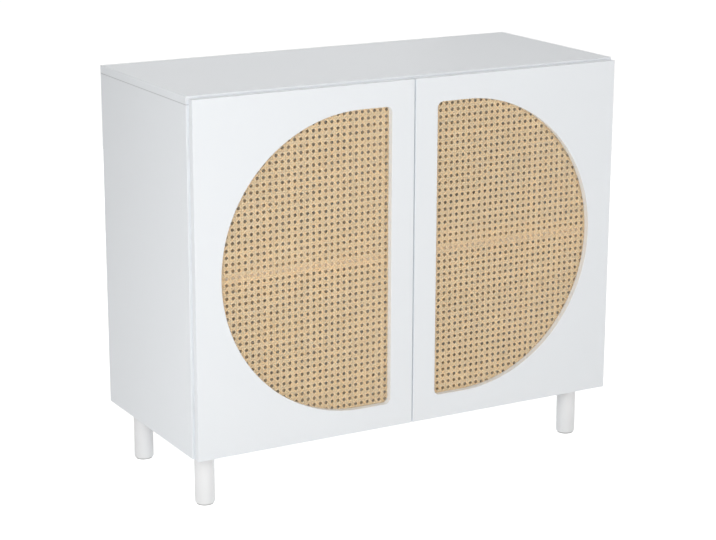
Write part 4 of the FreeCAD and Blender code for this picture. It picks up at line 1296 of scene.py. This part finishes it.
@dataclass
class Studio:
    """A pale floor, a pale background, soft light and the camera.

    Attributes:
        camera_place: where the camera stands.
        camera_turn: its heading to the right of +Y, its tilt below level and its roll, in degrees.
        film_width: width of the camera's film, in millimetres.
        lens: focal length, in millimetres.
        sight: the nearest and the farthest that the camera sees.
        lamps: the soft lamps.
        ambient: brightness of the surroundings.
        floor_reach: how far the floor reaches to each side.
        floor_white: how pale the floor is.
        floor_lift: how far the floor is lifted towards white where the camera sees it.
        light_bounces: how many times light passes on between the pale boards.
    """

    camera_place: tuple[float, float, float] = (-1.9116, -3.3608, 1.4014)
    camera_turn: tuple[float, float, float] = (29.555, 14.998, 0.154)
    film_width: float = 36.0
    lens: float = 102.01
    sight: tuple[float, float] = (0.05, 100.0)
    lamps: tuple[SoftLamp, ...] = (
        SoftLamp("key_light", (-1.6, -2.0, 1.2), 1.0, 23.5),
        SoftLamp("left_light", (-1.8, -0.5, 0.1), 0.6, 4.9),
        SoftLamp("fill_light", (1.6, -2.6, 0.8), 1.2, 17.3),
        SoftLamp("top_light", (0.0, 0.0, 3.2), 1.6, 19.2),
        SoftLamp("rear_light", (1.2, 2.8, 0.45), 1.2, 14.5),
    )
    ambient: float = 0.26
    floor_reach: float = 30.0
    floor_white: float = 0.9
    floor_lift: float = 0.8
    light_bounces: int = 16

    def build(self) -> None:
        """Sets up floor, surroundings, lamps and camera."""
        self.floor()
        self.surroundings()
        for lamp in self.lamps:
            lamp.hang()
        self.camera()
        scene = bpy.context.scene
        scene.view_settings.view_transform = "Standard"
        scene.cycles.max_bounces = self.light_bounces
        scene.cycles.diffuse_bounces = self.light_bounces
        log.info("studio: %d lamps", len(self.lamps))

    @staticmethod
    def seen_ray(tree: NodeTree) -> Socket:
        """Picks the rays that show the background: direct, in gloss or through glass.

        Args:
            tree: the nodes of the floor or the surroundings.

        Returns:
            1 for such a ray, 0 for one that only carries light.
        """
        path = tree.add("ShaderNodeLightPath").outputs
        gloss = tree.math("MAXIMUM", path["Is Camera Ray"], path["Is Glossy Ray"])
        return tree.math("MAXIMUM", gloss, path["Is Transmission Ray"])

    def floor(self) -> None:
        """Lays a pale floor that keeps the cabinet's soft shadow."""
        material = bpy.data.materials.new("studio_floor")
        tree = empty_tree(material)
        white = (self.floor_white,) * 3
        matt = tree.add("ShaderNodeBsdfDiffuse", {"Color": white}).outputs[0]
        lift = tree.math("MULTIPLY", self.seen_ray(tree), self.floor_lift)
        inputs = {"Color": (1.0, 1.0, 1.0), "Strength": lift}
        glow = tree.add("ShaderNodeEmission", inputs).outputs[0]
        both = tree.add("ShaderNodeAddShader", {0: matt, 1: glow}).outputs[0]
        tree.add("ShaderNodeOutputMaterial", {"Surface": both})
        mesh = bpy.data.meshes.new("studio_floor")
        low, high = -self.floor_reach, self.floor_reach
        corners = [(low, low, 0.0), (high, low, 0.0), (high, high, 0.0), (low, high, 0.0)]
        mesh.from_pydata(corners, [], [(0, 1, 2, 3)])
        mesh.materials.append(material)
        floor = new_object("studio_floor", mesh)

    def surroundings(self) -> None:
        """White to the camera, and an even soft light on the cabinet."""
        world = bpy.data.worlds.new("studio")
        tree = empty_tree(world)
        strength = tree.stretch(self.seen_ray(tree), self.ambient, 1.0)
        inputs = {"Color": (1.0, 1.0, 1.0), "Strength": strength}
        sky = tree.add("ShaderNodeBackground", inputs).outputs[0]
        tree.add("ShaderNodeOutputWorld", {"Surface": sky})
        bpy.context.scene.world = world

    def camera(self) -> None:
        """Stands the camera in front, to the left, a little above."""
        data = bpy.data.cameras.new("camera")
        data.sensor_width = self.film_width
        data.lens = self.lens
        data.clip_start, data.clip_end = self.sight
        camera = new_object("camera", data)
        heading, tilt, roll = (math.radians(angle) for angle in self.camera_turn)
        turn = (
            Matrix.Rotation(-heading, 4, "Z")
            @ Matrix.Rotation(math.pi / 2.0 - tilt, 4, "X")
            @ Matrix.Rotation(roll, 4, "Z")
        )
        camera.matrix_world = Matrix.Translation(Vector(self.camera_place)) @ turn
        bpy.context.scene.camera = camera


def main() -> None:
    """Builds the cabinet's looks in order: carcass, legs, doors, fittings, studio."""
    logging.basicConfig(level=logging.INFO, format="%(message)s")
    Carcass().build()
    Legs().build()
    Door(Side.LEFT, hole_x=-0.16865, hole_z=0.55745).build()
    Door(Side.RIGHT, hole_x=0.1519, hole_z=0.51964).build()
    DoorFittings().build()
    Studio().build()


if __name__ == "__main__":
    main()
